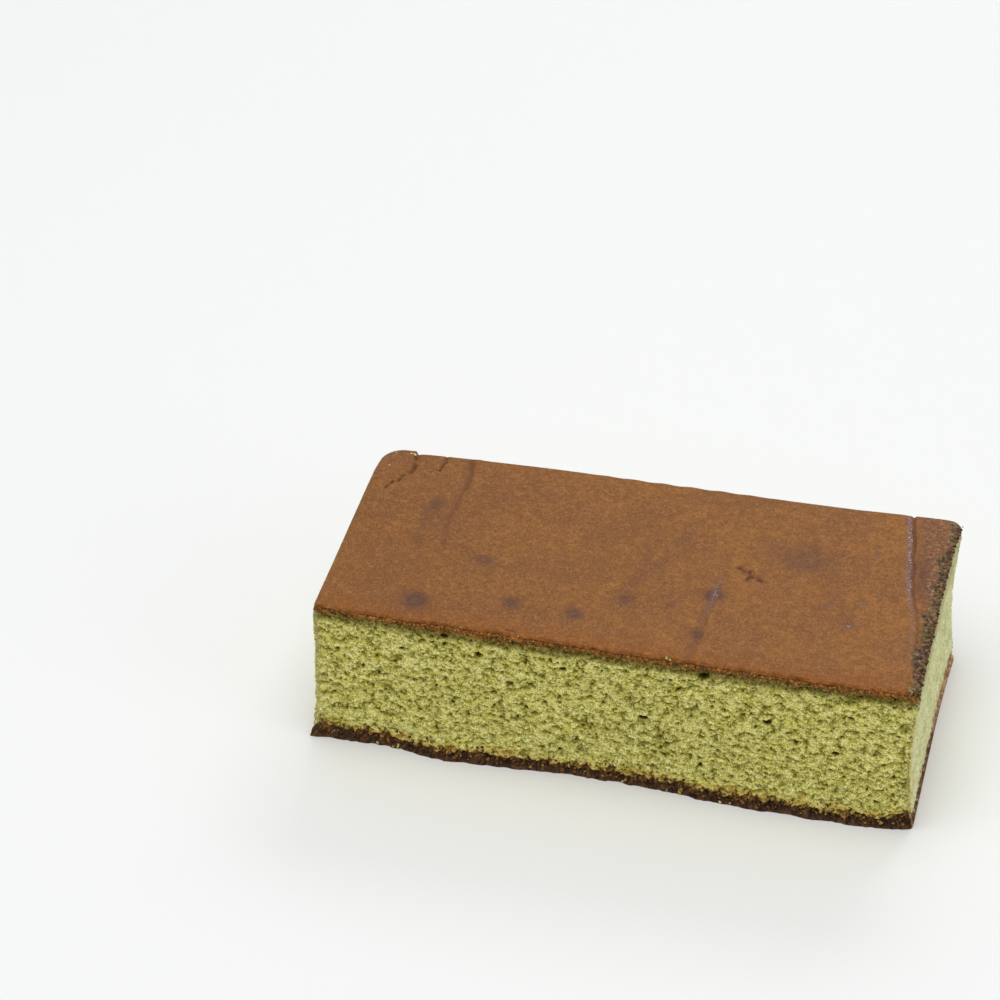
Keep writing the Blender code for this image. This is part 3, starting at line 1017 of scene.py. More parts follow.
class TopMarks:
    """Collects how deep and glossy each place of the top skin is, how dark (crack fill, and painted shade in
    creases), its bruises and painted shade, and the colour of press marks with painted sheen.
    """

    def __init__(self, skin):
        self.x, self.y, self.z = np.moveaxis(skin.points, -1, 0)
        self.shape = skin.points.shape[:2]
        self.jog_x = self.x + 0.5 * MM * smooth_noise(self.x, self.y, 3.5 * MM, 3.1)
        self.jog_y = self.y + 0.5 * MM * smooth_noise(self.x, self.y, 3.5 * MM, 7.7)
        self.jitter = smooth_noise(self.x, self.y, 1.5 * MM, 5.5)
        self.sink = np.zeros(self.shape)
        self.gloss = np.zeros(self.shape)
        self.dark = np.zeros(self.shape)
        self.bruise_and_shade = np.zeros(self.shape)
        self.pressed_and_sheen = np.zeros(self.shape)

    def distance(self, path):
        return path_distance(self.jog_x, self.jog_y, smooth_path(path))

    def left_crease(self):
        away, run, side = self.distance(FURROWS["left_crease"])
        fading = np.clip(1.2 - run, 0, 1) * (away < 6 * MM)
        self.sink += 0.55 * MM * bell(away, 2.8 * MM) * fading
        self.sink -= 0.15 * MM * bell(side - 2.2 * MM, 3.0 * MM) * fading
        # Painted shade along the crease and in a soft band beside it
        self.dark += 0.42 * bell(side - 0.1 * MM, 1.5 * MM) * fading
        self.bruise_and_shade += 0.22 * bell(side + 0.3 * MM, 4.0 * MM) * fading

    def middle_crease(self):
        away, run, side = self.distance(FURROWS["middle_crease"])
        fading = np.clip(run * 3.0, 0, 1) * (away < 6 * MM)
        self.sink += 0.30 * MM * bell(away, 1.8 * MM) * fading
        self.sink -= 0.15 * MM * bell(side - 1.3 * MM, 1.8 * MM) * fading
        # Real gloss, and press-mark colour with painted sheen, where the crease shines
        shiny = bell(run - 0.3, 0.36) + 0.12
        self.gloss += 0.9 * bell(away, 1.6 * MM) * fading * shiny
        self.pressed_and_sheen += (0.7 + 0.5 * self.jitter) * bell(away, 2.2 * MM) * fading * shiny
        # Painted shade along the crease and beside it
        self.dark += 0.22 * bell(side - 0.2 * MM, 0.9 * MM) * fading
        self.bruise_and_shade += 0.25 * bell(side + 0.9 * MM, 2.2 * MM) * fading

    def right_fold(self):
        """A glossy band flattened by pressing, coloured with painted sheen and glints, with a sharp groove along
        its right that painted shade darkens.
        """
        away, run, side = self.distance(FURROWS["right_fold"])
        here = (away < 6 * MM) * np.clip((1 - run) * 12, 0, 1)
        band = np.clip(1.5 * bell(side + 1.05 * MM, 1.7 * MM), 0, 1) * here
        back = np.clip(1.3 - 1.2 * run, 0, 1)
        self.sink += (0.2 + 0.35 * back) * MM * bell(away, 0.8 * MM) * here
        self.sink += (0.14 + 0.16 * self.jitter) * MM * band
        # Painted shade in the groove along the band's right
        self.dark += (0.25 + 0.5 * back) * bell(side - 0.15 * MM, 0.8 * MM) * here
        # Real gloss, and press-mark colour with painted sheen, patchy towards the front
        patchy = np.clip(1.1 - np.clip(run - 0.4, 0, 1) * (1.8 + 2.6 * self.jitter), 0.1, 1)
        self.gloss += (0.8 + 0.7 * self.jitter) * band * patchy
        self.pressed_and_sheen += (0.85 + 0.45 * self.jitter) * band * patchy
        beyond = bell(side - 2.7 * MM, 5.4 * MM) * bell(run - 0.46, 0.36) * here
        self.bruise_and_shade += 0.62 * beyond

    def cracks(self):
        """Thin torn cracks, with ragged sides and places where they close up."""
        tear_x = self.x + 0.4 * MM * smooth_noise(self.x, self.y, 1.1 * MM, 2.2)
        tear_y = self.y + 0.4 * MM * smooth_noise(self.x, self.y, 1.1 * MM, 6.1)
        for path, width, depth, strength in CRACKS:
            away, run, side = path_distance(tear_x, tear_y, path)
            open_here = bell(away, width * MM) * np.clip(0.7 + 1.1 * self.jitter, 0, 1)
            self.sink += depth * MM * open_here
            self.dark += strength * open_here

    def flap(self):
        """The back left corner stands a little proud, and the top steps down beyond its crack."""
        past = (self.x - FLAP_EDGE) / MM
        back = np.clip((self.y - FLAP_FRONT) / (14 * MM), 0, 1) ** 1.5
        self.sink -= FLAP_LIFT * back * np.clip(0.3 - past, 0, 1)
        self.sink += FLAP_DROP * back * np.clip(0.7 + past, 0, 1) * np.exp(-np.clip(past, 0, None) / 9)

    def faint_lines(self):
        for path, width, depth, strength in FAINT_LINES:
            away, run, side = self.distance(path)
            shade = bell(away, width * MM)
            self.sink += 1.5 * depth * MM * shade
            self.bruise_and_shade += 1.6 * strength * shade

    def spots(self):
        """Blistered spots, darkest in a ring, and small shiny dents, both with some painted sheen."""
        for along, across, width, strength in SPOTS:
            off_x, off_y = self.jog_x - along * LENGTH / 2, self.jog_y - across * WIDTH / 2
            off = np.hypot(off_x, off_y) + 0.5 * MM * self.jitter
            ring = bell(off - 0.22 * width * MM, 0.34 * width * MM)
            self.bruise_and_shade += strength * (0.68 * bell(off, 1.1 * width * MM) + 0.42 * ring)
            # Painted sheen in the middle of each spot
            self.pressed_and_sheen += 0.4 * strength * bell(off, 0.45 * width * MM)
            self.sink += 0.10 * MM * strength * (bell(off, width * MM) + 0.6 * ring)
        for along, across, width in DENTS:
            off = np.hypot(self.x - along * LENGTH / 2, self.y - across * WIDTH / 2)
            self.sink += 0.25 * MM * bell(off, width * MM)
            # Real gloss and painted sheen on each dent
            self.gloss += 0.75 * bell(off, width * 0.8 * MM)
            self.pressed_and_sheen += 0.8 * bell(off, width * 1.1 * MM)
            self.bruise_and_shade += 0.25 * bell(off, width * 1.8 * MM)

    def rough_rim(self):
        """How dark and crumbling the strip along the right rim is."""
        wide = 2.0 * MM * smooth_noise(self.x, self.y, 6 * MM, 1.5)
        wide += 1.7 * MM * smooth_noise(self.x, self.y, 2.4 * MM, 2.5)
        wide += 0.9 * MM * smooth_noise(self.x, self.y, 1.1 * MM, 8.5)
        return np.clip((self.x - (LENGTH / 2 - 6.2 * MM) + wide) / (4.6 * MM), 0, 1)

    def lip(self):
        """The lower part of the rolled rim, where the paper pulled the brown skin off."""
        uneven = 0.5 * smooth_noise(self.x + self.y, self.z, 2.5 * MM, 4.5) + 0.3 * self.jitter
        return np.clip((HEIGHT - 0.25 * MM - self.z) / (0.8 * MM) + uneven, 0, 1) * (self.z < HEIGHT - 1e-6)

    def scuffs_and_glints(self):
        """The worn area between the fold and the right rim, and the corner flap, with painted glints among its
        scuffs.
        """
        away, run, side = self.distance(FURROWS["right_fold"])
        right = np.clip((side - 1.5 * MM) / (3 * MM), 0, 1) * (self.x > 70 * MM)
        flap = np.hypot(self.x + LENGTH / 2, self.y - WIDTH / 2)
        return np.clip(np.maximum(right, 0.4 * near(flap, 14 * MM)), 0, 1)


def wear_share(points):
    """How badly each place is chipped, from 0 to 1."""
    return np.clip((np.linalg.norm(worn(points), axis=-1) - 0.85 * MM) / (0.45 * MM), 0, 1)


def mark_top(skin):
    """Works out the top skin's furrows, dents, spots and rough rim."""
    marks = TopMarks(skin)
    marks.left_crease()
    marks.middle_crease()
    marks.right_fold()
    marks.cracks()
    marks.flap()
    marks.faint_lines()
    marks.spots()
    from_cut = marks.y + WIDTH / 2
    skin.marks["sink"] = marks.sink
    for name in ("gloss", "dark", "bruise_and_shade", "pressed_and_sheen"):
        skin.marks[name] = np.clip(getattr(marks, name), 0, 1)
    skin.marks["rough"] = marks.rough_rim()
    skin.marks["lip"] = marks.lip()
    skin.marks["scuffs_and_glints"] = marks.scuffs_and_glints()
    skin.marks["chip"] = wear_share(skin.points)
    skin.marks["front"] = np.clip(1.05 - from_cut / (9 * MM), 0, 1) * (marks.z > HEIGHT - 2 * RIM_RADIUS)


# The widest bubbles of the cut face: halves of the length, share of the height, width in mm
BUBBLES = (
    (-0.70, 0.77, 2.3),
    (-0.56, 0.90, 2.8),
    (-0.44, 0.81, 3.1),
    (-0.34, 0.63, 2.4),
    (0.11, 0.53, 3.5),
    (0.30, 0.90, 4.2),
    (0.52, 0.64, 3.3),
    (0.79, 0.76, 2.5),
    (0.75, 0.49, 2.8),
)
BUBBLE_FLATTENING = 0.7

# Smaller ones, as deep as they are wide, given in the same way
SMALL_BUBBLES = (
    (-0.638, 0.57, 1.4),
    (-0.629, 0.76, 1.3),
    (-0.559, 0.91, 2.2),
    (-0.528, 0.43, 1.5),
    (-0.266, 0.80, 1.3),
    (-0.161, 0.80, 2.6),
    (0.843, 0.62, 1.3),
    (0.859, 0.68, 1.6),
    (0.895, 0.70, 1.4),
    (0.915, 0.92, 1.4),
    (0.948, 0.67, 1.6),
)


def mark_cut(skin):
    """Marks the widest bubbles on the cut face."""
    x, z = skin.points[..., 0], skin.points[..., 2]
    bent_x = x + 0.35 * MM * smooth_noise(x, z, 1.6 * MM, 4.4)
    bent_z = z + 0.30 * MM * smooth_noise(x, z, 1.6 * MM, 8.8)
    hole = np.zeros_like(x)
    for along, share, width in (*BUBBLES, *SMALL_BUBBLES):
        off_x = (bent_x - along * LENGTH / 2) / (width * MM / 2)
        off_z = (bent_z - share * HEIGHT) / (width * MM / 2 * BUBBLE_FLATTENING)
        hole = np.maximum(hole, np.sqrt(np.clip(1 - off_x**2 - off_z**2, 0, 1)))
    skin.marks["hole"] = hole
    skin.marks["chip"] = wear_share(skin.points)


# ---------------------------------------------------------------- materials

def new_material(name, roughness, specular):
    material = bpy.data.materials.new(name)
    material.use_nodes = True
    web = Web(material.node_tree)
    shader = material.node_tree.nodes["Principled BSDF"]
    shader.inputs["Roughness"].default_value = roughness
    shader.inputs["Specular IOR Level"].default_value = specular
    return material, web, shader


def read_mark(web, name):
    item = web.node("ShaderNodeAttribute", attribute_type="GEOMETRY", attribute_name=name)
    return item.outputs["Fac"]


def object_place(web):
    return web.node("ShaderNodeTexCoord").outputs["Object"]


def bump(web, shader, height, distance, strength=1.0):
    item = web.node("ShaderNodeBump")
    item.inputs["Strength"].default_value = strength
    item.inputs["Distance"].default_value = distance
    web.feed(item.inputs["Height"], height)
    web.feed(shader.inputs["Normal"], item.outputs[0])


def sponge_colour(web, place, wall, bright, yellow, fleck_and_hollow_shade, deep):
    """Sponge: torn walls with bright and yellow lumps and random flecks, painted shade that darkens and greens the
    pits, and a painted highlight on the ridges.
    """
    pit = read_mark(web, "pit")
    clump = read_mark(web, "clump")
    speckle = web.noise(place, 0.6 * MM, 2.0, 0.7)
    fine = web.noise(place, 0.36 * MM, 1.0, 0.5)
    colour = web.blend(web.ramp(clump, 0.55, 1.0, 0.0, 0.7), wall, yellow)
    # Random bright flecks, and a painted highlight on the ridges between the pits
    fleck_and_ridge_highlight = web.math("ADD", web.ramp(speckle, 0.48, 0.68), web.math("MULTIPLY", read_mark(web, "ridge"), 0.55))
    colour = web.blend(fleck_and_ridge_highlight, colour, bright)
    colour = web.blend(web.ramp(speckle, 0.34, 0.48, 0.6, 0.0), colour, fleck_and_hollow_shade)
    colour = web.blend(web.ramp(fine, 0.36, 0.50, 0.5, 0.0), colour, fleck_and_hollow_shade)
    # Painted shade in the pits, darkest and greenest in the deepest
    colour = web.blend(web.ramp(pit, 0.16, 0.80, 0.0, 0.95), colour, fleck_and_hollow_shade)
    return web.blend(web.ramp(pit, 0.62, 1.05, 0.0, 0.9), colour, deep)


def cut_material():
    material, web, shader = new_material("open_green_crumb", 0.9, 0.15)
    place = object_place(web)
    colour = sponge_colour(
        web, place,
        wall=srgb(200, 193, 100),
        bright=srgb(242, 237, 160),
        yellow=srgb(220, 207, 92),
        fleck_and_hollow_shade=srgb(116, 109, 14),
        deep=srgb(62, 55, 0),
    )
    fleck = web.noise(place, 0.9 * MM, 3.0, 0.65)
    clod = web.noise(place, 2.4 * MM, 2.0, 0.6)
    crust_nearness = read_mark(web, "crust_nearness")
    olive = web.bands(
        fleck,
        (0.36, srgb(70, 60, 22)),
        (0.50, srgb(118, 103, 44)),
        (0.66, srgb(158, 142, 68)),
    )
    brown = web.bands(
        fleck,
        (0.34, srgb(72, 46, 20)),
        (0.48, srgb(124, 82, 36)),
        (0.60, srgb(162, 110, 50)),
        (0.72, srgb(204, 142, 66)),
    )
    crust = web.bands(
        fleck,
        (0.34, srgb(110, 60, 22)),
        (0.46, srgb(168, 98, 38)),
        (0.64, srgb(204, 128, 54)),
    )
    # Darker olive just under the crust: partly the denser crumb's own colour, partly painted shade under the
    # crust's edge
    colour = web.blend(web.ramp(crust_nearness, 0.24, 0.50, 0.0, 0.92), colour, olive)
    colour = web.blend(web.ramp(crust_nearness, 0.54, 0.72), colour, brown)
    blotch = web.ramp(web.noise(place, 4 * MM, 2.0, 0.6), 0.36, 0.52, 0.1, 1.0)
    colour = web.blend(web.math("MULTIPLY", web.ramp(crust_nearness, 0.80, 0.92), blotch), colour, crust)
    torn = web.math("MULTIPLY", read_mark(web, "chip"), web.ramp(crust_nearness, 0.36, 0.57, 0.0, 0.7))
    colour = web.blend(torn, colour, srgb(108, 58, 26))
    scorched = read_mark(web, "scorched")
    toasted = web.bands(
        fleck,
        (0.34, srgb(84, 48, 26)),
        (0.48, srgb(144, 96, 48)),
        (0.62, srgb(200, 162, 80)),
    )
    burnt = web.math("ADD", web.math("MULTIPLY", fleck, 0.45), web.math("MULTIPLY", clod, 0.55))
    black = web.bands(
        burnt,
        (0.40, srgb(30, 21, 17)),
        (0.46, srgb(78, 53, 37)),
        (0.52, srgb(124, 84, 54)),
        (0.60, srgb(168, 128, 76)),
    )
    golden = web.ramp(scorched, 0.0, 0.34, 0.0, 0.6)
    colour = web.blend(golden, colour, srgb(206, 180, 84))
    colour = web.blend(web.ramp(scorched, 0.22, 0.60, 0.0, 0.85), colour, toasted)
    colour = web.blend(web.ramp(scorched, 0.58, 0.84), colour, black)
    split = web.node("ShaderNodeSeparateXYZ")
    web.feed(split.inputs[0], object_place(web))
    sole = web.ramp(split.outputs[2], 0.2 * MM, 2.0 * MM, 0.75, 0.0)
    colour = web.blend(sole, colour, srgb(44, 29, 21))
    # Painted highlight along the cut face's two end edges, where the torn crumb is also paler
    ends = web.ramp(web.math("ABSOLUTE", split.outputs[0]), LENGTH / 2 - 2.6 * MM, LENGTH / 2 - 0.4 * MM, 0.0, 0.6)
    ends = web.math("MULTIPLY", ends, web.ramp(web.math("MAXIMUM", scorched, crust_nearness), 0.1, 0.4, 1.0, 0.0))
    colour = web.blend(ends, colour, srgb(238, 232, 160))
    # Painted shade inside the widest bubbles
    hole = read_mark(web, "hole")
    colour = web.blend(web.ramp(hole, 0.3, 0.9), colour, srgb(54, 48, 6))
    web.feed(shader.inputs["Base Color"], colour)
    bump(web, shader, web.noise(place, 0.36 * MM, 2.0, 0.6), 0.12 * MM, 0.6)
    return material


def peeled_material():
    material, web, shader = new_material("peeled_green_side", 0.85, 0.2)
    place = web.vector("MULTIPLY", object_place(web), (0.7, 0.7, 1.0))
    colour = sponge_colour(
        web, place,
        wall=srgb(220, 218, 162),
        bright=srgb(242, 241, 196),
        yellow=srgb(228, 221, 148),
        fleck_and_hollow_shade=srgb(184, 178, 108),
        deep=srgb(144, 136, 70),
    )
    lumps = web.noise(place, 1.6 * MM, 3.0, 0.7)
    colour = web.blend(web.ramp(lumps, 0.48, 0.66, 0.0, 0.7), colour, srgb(232, 232, 196))
    colour = web.blend(web.ramp(lumps, 0.34, 0.48, 0.6, 0.0), colour, srgb(182, 180, 96))
    stain = web.noise(place, 7 * MM, 3.0, 0.6)
    colour = web.blend(web.ramp(stain, 0.42, 0.66, 0.0, 0.5), colour, srgb(176, 180, 128))
    fleck = web.noise(place, 0.9 * MM, 3.0, 0.65)
    crust_nearness = read_mark(web, "crust_nearness")
    # Darker and duller towards the top of each side
    dull = web.blend(web.ramp(fleck, 0.35, 0.65), srgb(150, 144, 96), srgb(190, 184, 134))
    colour = web.blend(web.ramp(crust_nearness, 0.0, 1.0, 0.0, 0.85), colour, dull)
    scorched = read_mark(web, "scorched")
    toasted = web.blend(web.ramp(fleck, 0.38, 0.62), srgb(164, 136, 86), srgb(220, 202, 142))
    black = web.blend(web.ramp(fleck, 0.38, 0.66), srgb(132, 98, 68), srgb(202, 166, 122))
    colour = web.blend(web.ramp(scorched, 0.32, 0.52), colour, toasted)
    colour = web.blend(web.ramp(scorched, 0.52, 0.72), colour, black)
    burnt = web.math("MULTIPLY", web.ramp(scorched, 0.5, 0.7), web.ramp(read_mark(web, "torn_edge"), 0.2, 0.9, 0.0, 0.9))
    colour = web.blend(burnt, colour, srgb(62, 42, 30))
    crumb = sponge_colour(
        web, place,
        wall=srgb(206, 200, 116),
        bright=srgb(240, 236, 168),
        yellow=srgb(220, 208, 104),
        fleck_and_hollow_shade=srgb(136, 130, 40),
        deep=srgb(84, 78, 14),
    )
    torn_edge = web.math("ADD", read_mark(web, "torn_edge"), web.math("SUBTRACT", fleck, 0.5))
    unburnt = web.ramp(web.math("MAXIMUM", scorched, crust_nearness), 0.25, 0.5, 1.0, 0.0)
    colour = web.blend(web.math("MULTIPLY", web.ramp(torn_edge, 0.25, 0.75), unburnt), colour, crumb)
    web.feed(shader.inputs["Base Color"], colour)
    bump(web, shader, web.noise(place, 0.35 * MM, 2.0, 0.6), 0.08 * MM, 0.6)
    return material


def top_material():
    material, web, shader = new_material("browned_top_skin", 0.66, 0.25)
    place = object_place(web)
    slow = web.noise(place, 16 * MM, 2.0, 0.5)
    mottle = web.noise(place, 3.4 * MM, 3.0, 0.6)
    patch = web.noise(place, 1.5 * MM, 2.0, 0.6)
    grain = web.noise(place, 0.75 * MM, 2.0, 0.65)
    fine = web.noise(place, 0.4 * MM, 1.0, 0.5)
    split = web.node("ShaderNodeSeparateXYZ")
    web.feed(split.inputs[0], place)
    # Painted light: the top turns lighter towards its right end, where the window's sheen falls
    along = web.ramp(split.outputs[0], -80 * MM, 80 * MM, kind="LINEAR")
    colour = web.blend(along, srgb(134, 85, 34), srgb(149, 96, 40))
    colour = web.blend(web.ramp(slow, 0.42, 0.62, 0.0, 0.5), colour, srgb(120, 76, 42))
    colour = web.blend(web.ramp(mottle, 0.38, 0.66, 0.0, 0.52), colour, srgb(116, 70, 32))
    # Dark scuff colours, with painted glints as the lightest flecks
    scuff_and_glints = web.bands(
        web.noise(place, 1.0 * MM, 3.0, 0.7),
        (0.36, srgb(70, 42, 34)),
        (0.48, srgb(112, 72, 52)),
        (0.58, srgb(132, 90, 66)),
        (0.70, srgb(200, 162, 142)),
    )
    colour = web.blend(web.math("MULTIPLY", read_mark(web, "scuffs_and_glints"), 0.72), colour, scuff_and_glints)
    colour = web.blend(read_mark(web, "front"), colour, srgb(135, 77, 17))
    colour = web.blend(web.ramp(patch, 0.46, 0.66, 0.0, 0.42), colour, srgb(108, 64, 22))
    colour = web.blend(web.ramp(patch, 0.30, 0.44, 0.38, 0.0), colour, srgb(170, 116, 60))
    colour = web.blend(web.ramp(grain, 0.48, 0.66, 0.0, 0.42), colour, srgb(102, 58, 18))
    colour = web.blend(web.ramp(fine, 0.52, 0.66, 0.0, 0.36), colour, srgb(176, 126, 76))
    # Bruises on the spots, and painted shade beside the creases and along the faint lines
    bruise_and_shade = web.math("MULTIPLY", read_mark(web, "bruise_and_shade"), web.ramp(grain, 0.35, 0.6, 0.8, 1.0))
    colour = web.blend(bruise_and_shade, colour, srgb(80, 51, 42))
    # Press-mark colour with painted sheen, on the fold, the middle crease, spots and dents
    pressed_and_sheen = web.blend(web.ramp(fine, 0.36, 0.60), srgb(76, 48, 40), srgb(130, 92, 78))
    colour = web.blend(read_mark(web, "pressed_and_sheen"), colour, pressed_and_sheen)
    # Painted glints where the top is glossy
    sparkle = web.noise(place, 0.8 * MM, 2.0, 0.7)
    sparkle = web.math("MULTIPLY", web.ramp(sparkle, 0.57, 0.68), web.ramp(read_mark(web, "gloss"), 0.2, 0.9))
    colour = web.blend(web.math("MULTIPLY", sparkle, 0.7), colour, srgb(206, 180, 182))
    fleck = web.noise(place, 1.3 * MM, 3.0, 0.7)
    rough = read_mark(web, "rough")
    scorch = web.bands(
        fleck,
        (0.36, srgb(40, 31, 26)),
        (0.47, srgb(84, 64, 50)),
        (0.58, srgb(118, 90, 68)),
        (0.70, srgb(170, 132, 104)),
    )
    mossy = web.bands(fleck, (0.38, srgb(54, 48, 14)), (0.50, srgb(98, 87, 44)), (0.64, srgb(150, 136, 84)))
    scorch = web.blend(web.ramp(web.noise(place, 5 * MM, 2.0, 0.6), 0.48, 0.62, 0.0, 0.75), scorch, mossy)
    speckled = web.math("ADD", rough, web.math("MULTIPLY", web.math("SUBTRACT", fleck, 0.5), 1.6))
    speckled = web.math("MULTIPLY", web.ramp(speckled, 0.34, 0.62), web.ramp(rough, 0.0, 0.2))
    colour = web.blend(speckled, colour, scorch)
    peeled = web.blend(web.ramp(fleck, 0.36, 0.64), srgb(160, 152, 104), srgb(200, 196, 146))
    colour = web.blend(read_mark(web, "lip"), colour, peeled)
    colour = web.blend(web.math("MULTIPLY", read_mark(web, "chip"), 0.5), colour, srgb(136, 72, 24))
    # Reddish-brown fill of the cracks, and painted shade along the creases and the fold's groove
    colour = web.blend(read_mark(web, "dark"), colour, srgb(88, 44, 20))
    # Painted shade inside the pores
    colour = web.blend(web.ramp(read_mark(web, "pore"), 0.2, 0.9, 0.0, 0.8), colour, srgb(56, 34, 22))
    web.feed(shader.inputs["Base Color"], colour)
    gloss = read_mark(web, "gloss")
    dry = web.ramp(rough, 0.0, 1.0, 0.66, 0.92)
    web.feed(shader.inputs["Roughness"], web.math("SUBTRACT", dry, web.math("MULTIPLY", gloss, 0.46)))
    glint = web.math("MULTIPLY", web.noise(place, 0.7 * MM, 2.0, 0.6), web.ramp(gloss, 0.0, 1.0, 0.0, 3.0))
    bump(web, shader, web.math("ADD", grain, glint), 0.09 * MM, 0.9)
    return material


def base_material():
    material, web, shader = new_material("dark_base_crust", 0.8, 0.3)
    place = object_place(web)
    mottle = web.noise(place, 4 * MM, 4.0, 0.65)
    grain = web.noise(place, 0.6 * MM, 3.0, 0.65)
    colour = web.blend(web.ramp(mottle, 0.35, 0.65), srgb(58, 38, 22), srgb(96, 66, 40))
    colour = web.blend(web.ramp(grain, 0.45, 0.7, 0.0, 0.6), colour, srgb(40, 27, 17))
    web.feed(shader.inputs["Base Color"], colour)
    bump(web, shader, grain, 0.12 * MM, 0.8)
    return material


def crumb_material(name, *stops):
    """Loose crumbs, each between the given colours by its tint."""
    material, web, shader = new_material(name, 0.9, 0.2)
    place = object_place(web)
    colour = web.bands(read_mark(web, "tint"), *stops)
    fleck = web.noise(place, 0.4 * MM, 2.0, 0.6)
    colour = web.blend(web.ramp(fleck, 0.4, 0.65, 0.0, 0.45), colour, srgb(96, 82, 36))
    web.feed(shader.inputs["Base Color"], colour)
    bump(web, shader, fleck, 0.1 * MM, 0.6)
    return material


# ---------------------------------------------------------------- pieces

def blank_marks(skin, *names):
    for name in names:
        skin.marks.setdefault(name, np.zeros(skin.points.shape[:2]))


def dress(item):
    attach(item, "root")
    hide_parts("castella")


def make_cut_face(tree):
    skin = cut_skin()
    mark_cut(skin)
    material = cut_material()
    for strip in skin.strips("cut_face_right", "cut_face_middle", "cut_face_left"):
        dress(run_skin(strip, tree, material))


def make_sides(tree):
    material = peeled_material()
    for skin in (left_skin(), back_skin(), right_skin()):
        blank_marks(skin, "hole")
        x, y, z = np.moveaxis(skin.points, -1, 0)
        skin.marks["torn_edge"] = near(y + WIDTH / 2, 3.4 * MM)
        side = run_skin(
            skin,
            tree,
            material,
            flatness=1.0,
            pit_width=2.6 * MM,
            pit_depth=0.65 * MM,
            bubble_depth=0.15 * MM,
            small_width=1.9 * MM,
            small_depth=0.45 * MM,
            grain_width=1.5 * MM,
            grain_depth=0.8 * MM,
            wave_width=6 * MM,
            wave_depth=0.5 * MM,
            base_height=4.5 * MM,
            base_end_rise=0.0,
            base_lump_height=0.6 * MM,
            base_recess=0.4 * MM,
            rim_height=8.0 * MM,
            rim_recess=0.0,
            side_raise=0.6 * MM,
        )
        dress(side)


def make_top(tree):
    skin = lid_skin()
    mark_top(skin)
    material = top_material()
    for strip in skin.strips("top_crust_right", "top_crust_left"):
        dress(run_skin(strip, tree, material))


def make_base(tree):
    skin = base_skin()
    blank_marks(skin, "sink", "rough")
    base = run_skin(skin, tree, base_material(), grain_width=2.5 * MM, grain_depth=0.2 * MM)
    dress(base)


# Crumbs that lie against the foot: halves of the length, width in mm, and how green (0 to 1)
FOOT_CRUMBS = (
    (-0.78, 1.6, 0.8),
    (-0.725, 1.3, 0.6),
    (-0.71, 2.0, 0.9),
    (0.045, 1.3, 0.9),
    (0.195, 1.4, 0.6),
    (0.237, 1.7, 0.8),
    (0.373, 1.3, 0.9),
    (0.407, 1.4, 0.7),
)


# Crumbs that lie on the top: halves of the length and of the width, width in mm, and tint
TOP_CRUMBS = (
    (-0.903, 0.955, 2.3, 1.0),
    (-0.886, 0.938, 1.8, 1.0),
    (-0.957, 0.935, 0.9, 0.8),
    (-0.955, 0.758, 0.8, 1.0),
    (0.178, -0.985, 1.6, 0.8),
    (0.190, -0.990, 1.1, 0.95),
    (-0.31, -0.995, 1.0, 0.9),
    (-0.50, -0.990, 0.9, 0.85),
)


# Torn lumps of crust on the knife's top edge: halves of the length, and width in mm
EDGE_LUMPS = (
    (-0.975, 1.5),
    (-0.60, 1.6),
    (-0.585, 2.0),
    (-0.565, 1.3),
    (-0.02, 1.4),
    (0.025, 1.9),
    (0.045, 2.4),
    (0.062, 1.5),
    (0.165, 1.3),
    (0.435, 1.8),
    (0.452, 1.4),
    (0.93, 1.3),
)


def on_skin(x, y, z, sink=0.0):
    """Places on the finished cake's cut face or top, sunk in by this much towards the middle."""
    points = np.stack([x, y, z], -1)
    return sculpted(points) + rolled(points) + worn(points) + np.array([0.0, sink, 0.0])


def make_foot_crumbs(tree):
    """Green and dark crumbs that cling to the cut face, thickest above its foot."""
    rng = np.random.default_rng(7)
    count = 170
    x = rng.uniform(-0.99, 0.99, count) * LENGTH / 2
    z = 2.0 * MM + rng.beta(2.0, 2.0, count) * 8 * MM
    width = (0.5 + 1.3 * rng.uniform(0, 1, count) ** 2) * MM
    points = on_skin(x, np.full(count, -WIDTH / 2), z, sink=0.9 * MM)
    tint = rng.uniform(0, 1, count)
    along, size, green = np.array(FOOT_CRUMBS).T
    foot = on_skin(along * LENGTH / 2, np.full(len(along), -WIDTH / 2), size * MM * 0.5)
    edge_x, edge_z, edge_side = (rng.uniform(0, 1, 300) for _ in range(3))
    side = np.where(edge_side < 0.6, -1.0, 1.0)
    corner = on_skin(
        side * (LENGTH / 2 - 0.15 * MM - 1.3 * MM * edge_x**2),
        np.full(300, -WIDTH / 2),
        (0.14 + 0.8 * edge_z) * HEIGHT,
        sink=0.35 * MM,
    )
    turn = np.radians(rng.uniform(0, 85, 110))
    back = on_skin(
        LENGTH / 2 - CORNER_RIGHT + (CORNER_RIGHT - 1.0 * MM) * np.cos(turn),
        WIDTH / 2 - CORNER_RIGHT + (CORNER_RIGHT - 1.0 * MM) * np.sin(turn),
        (0.16 + 0.72 * rng.uniform(0, 1, 110)) * HEIGHT,
    )
    along, across, lying_size, lying_tint = np.array(TOP_CRUMBS).T
    lying = on_skin(along * LENGTH / 2, across * WIDTH / 2, np.full(len(along), HEIGHT))
    lying[:, 2] = np.minimum(lying[:, 2] + 0.1 * lying_size * MM, CAD_BOX[1][2] - 0.6 * lying_size * MM)
    points = np.concatenate([points, foot, corner, back, lying])
    loose_size = np.concatenate([rng.uniform(0.4, 1.1, 300), rng.uniform(0.8, 1.5, 110)]) * MM
    width = np.concatenate([width, size * MM, loose_size, lying_size * MM])
    tint = np.concatenate([tint, green, rng.uniform(0.7, 1.0, 300), rng.uniform(0.92, 1.0, 110), lying_tint])
    material = crumb_material(
        "green_crumbs",
        (0.0, srgb(112, 84, 44)),
        (0.4, srgb(152, 132, 68)),
        (0.8, srgb(190, 180, 100)),
        (1.0, srgb(232, 222, 160)),
    )
    crumbs = crumb_points("green_crumbs", points, width, tint, tree, material)
    dress(crumbs)


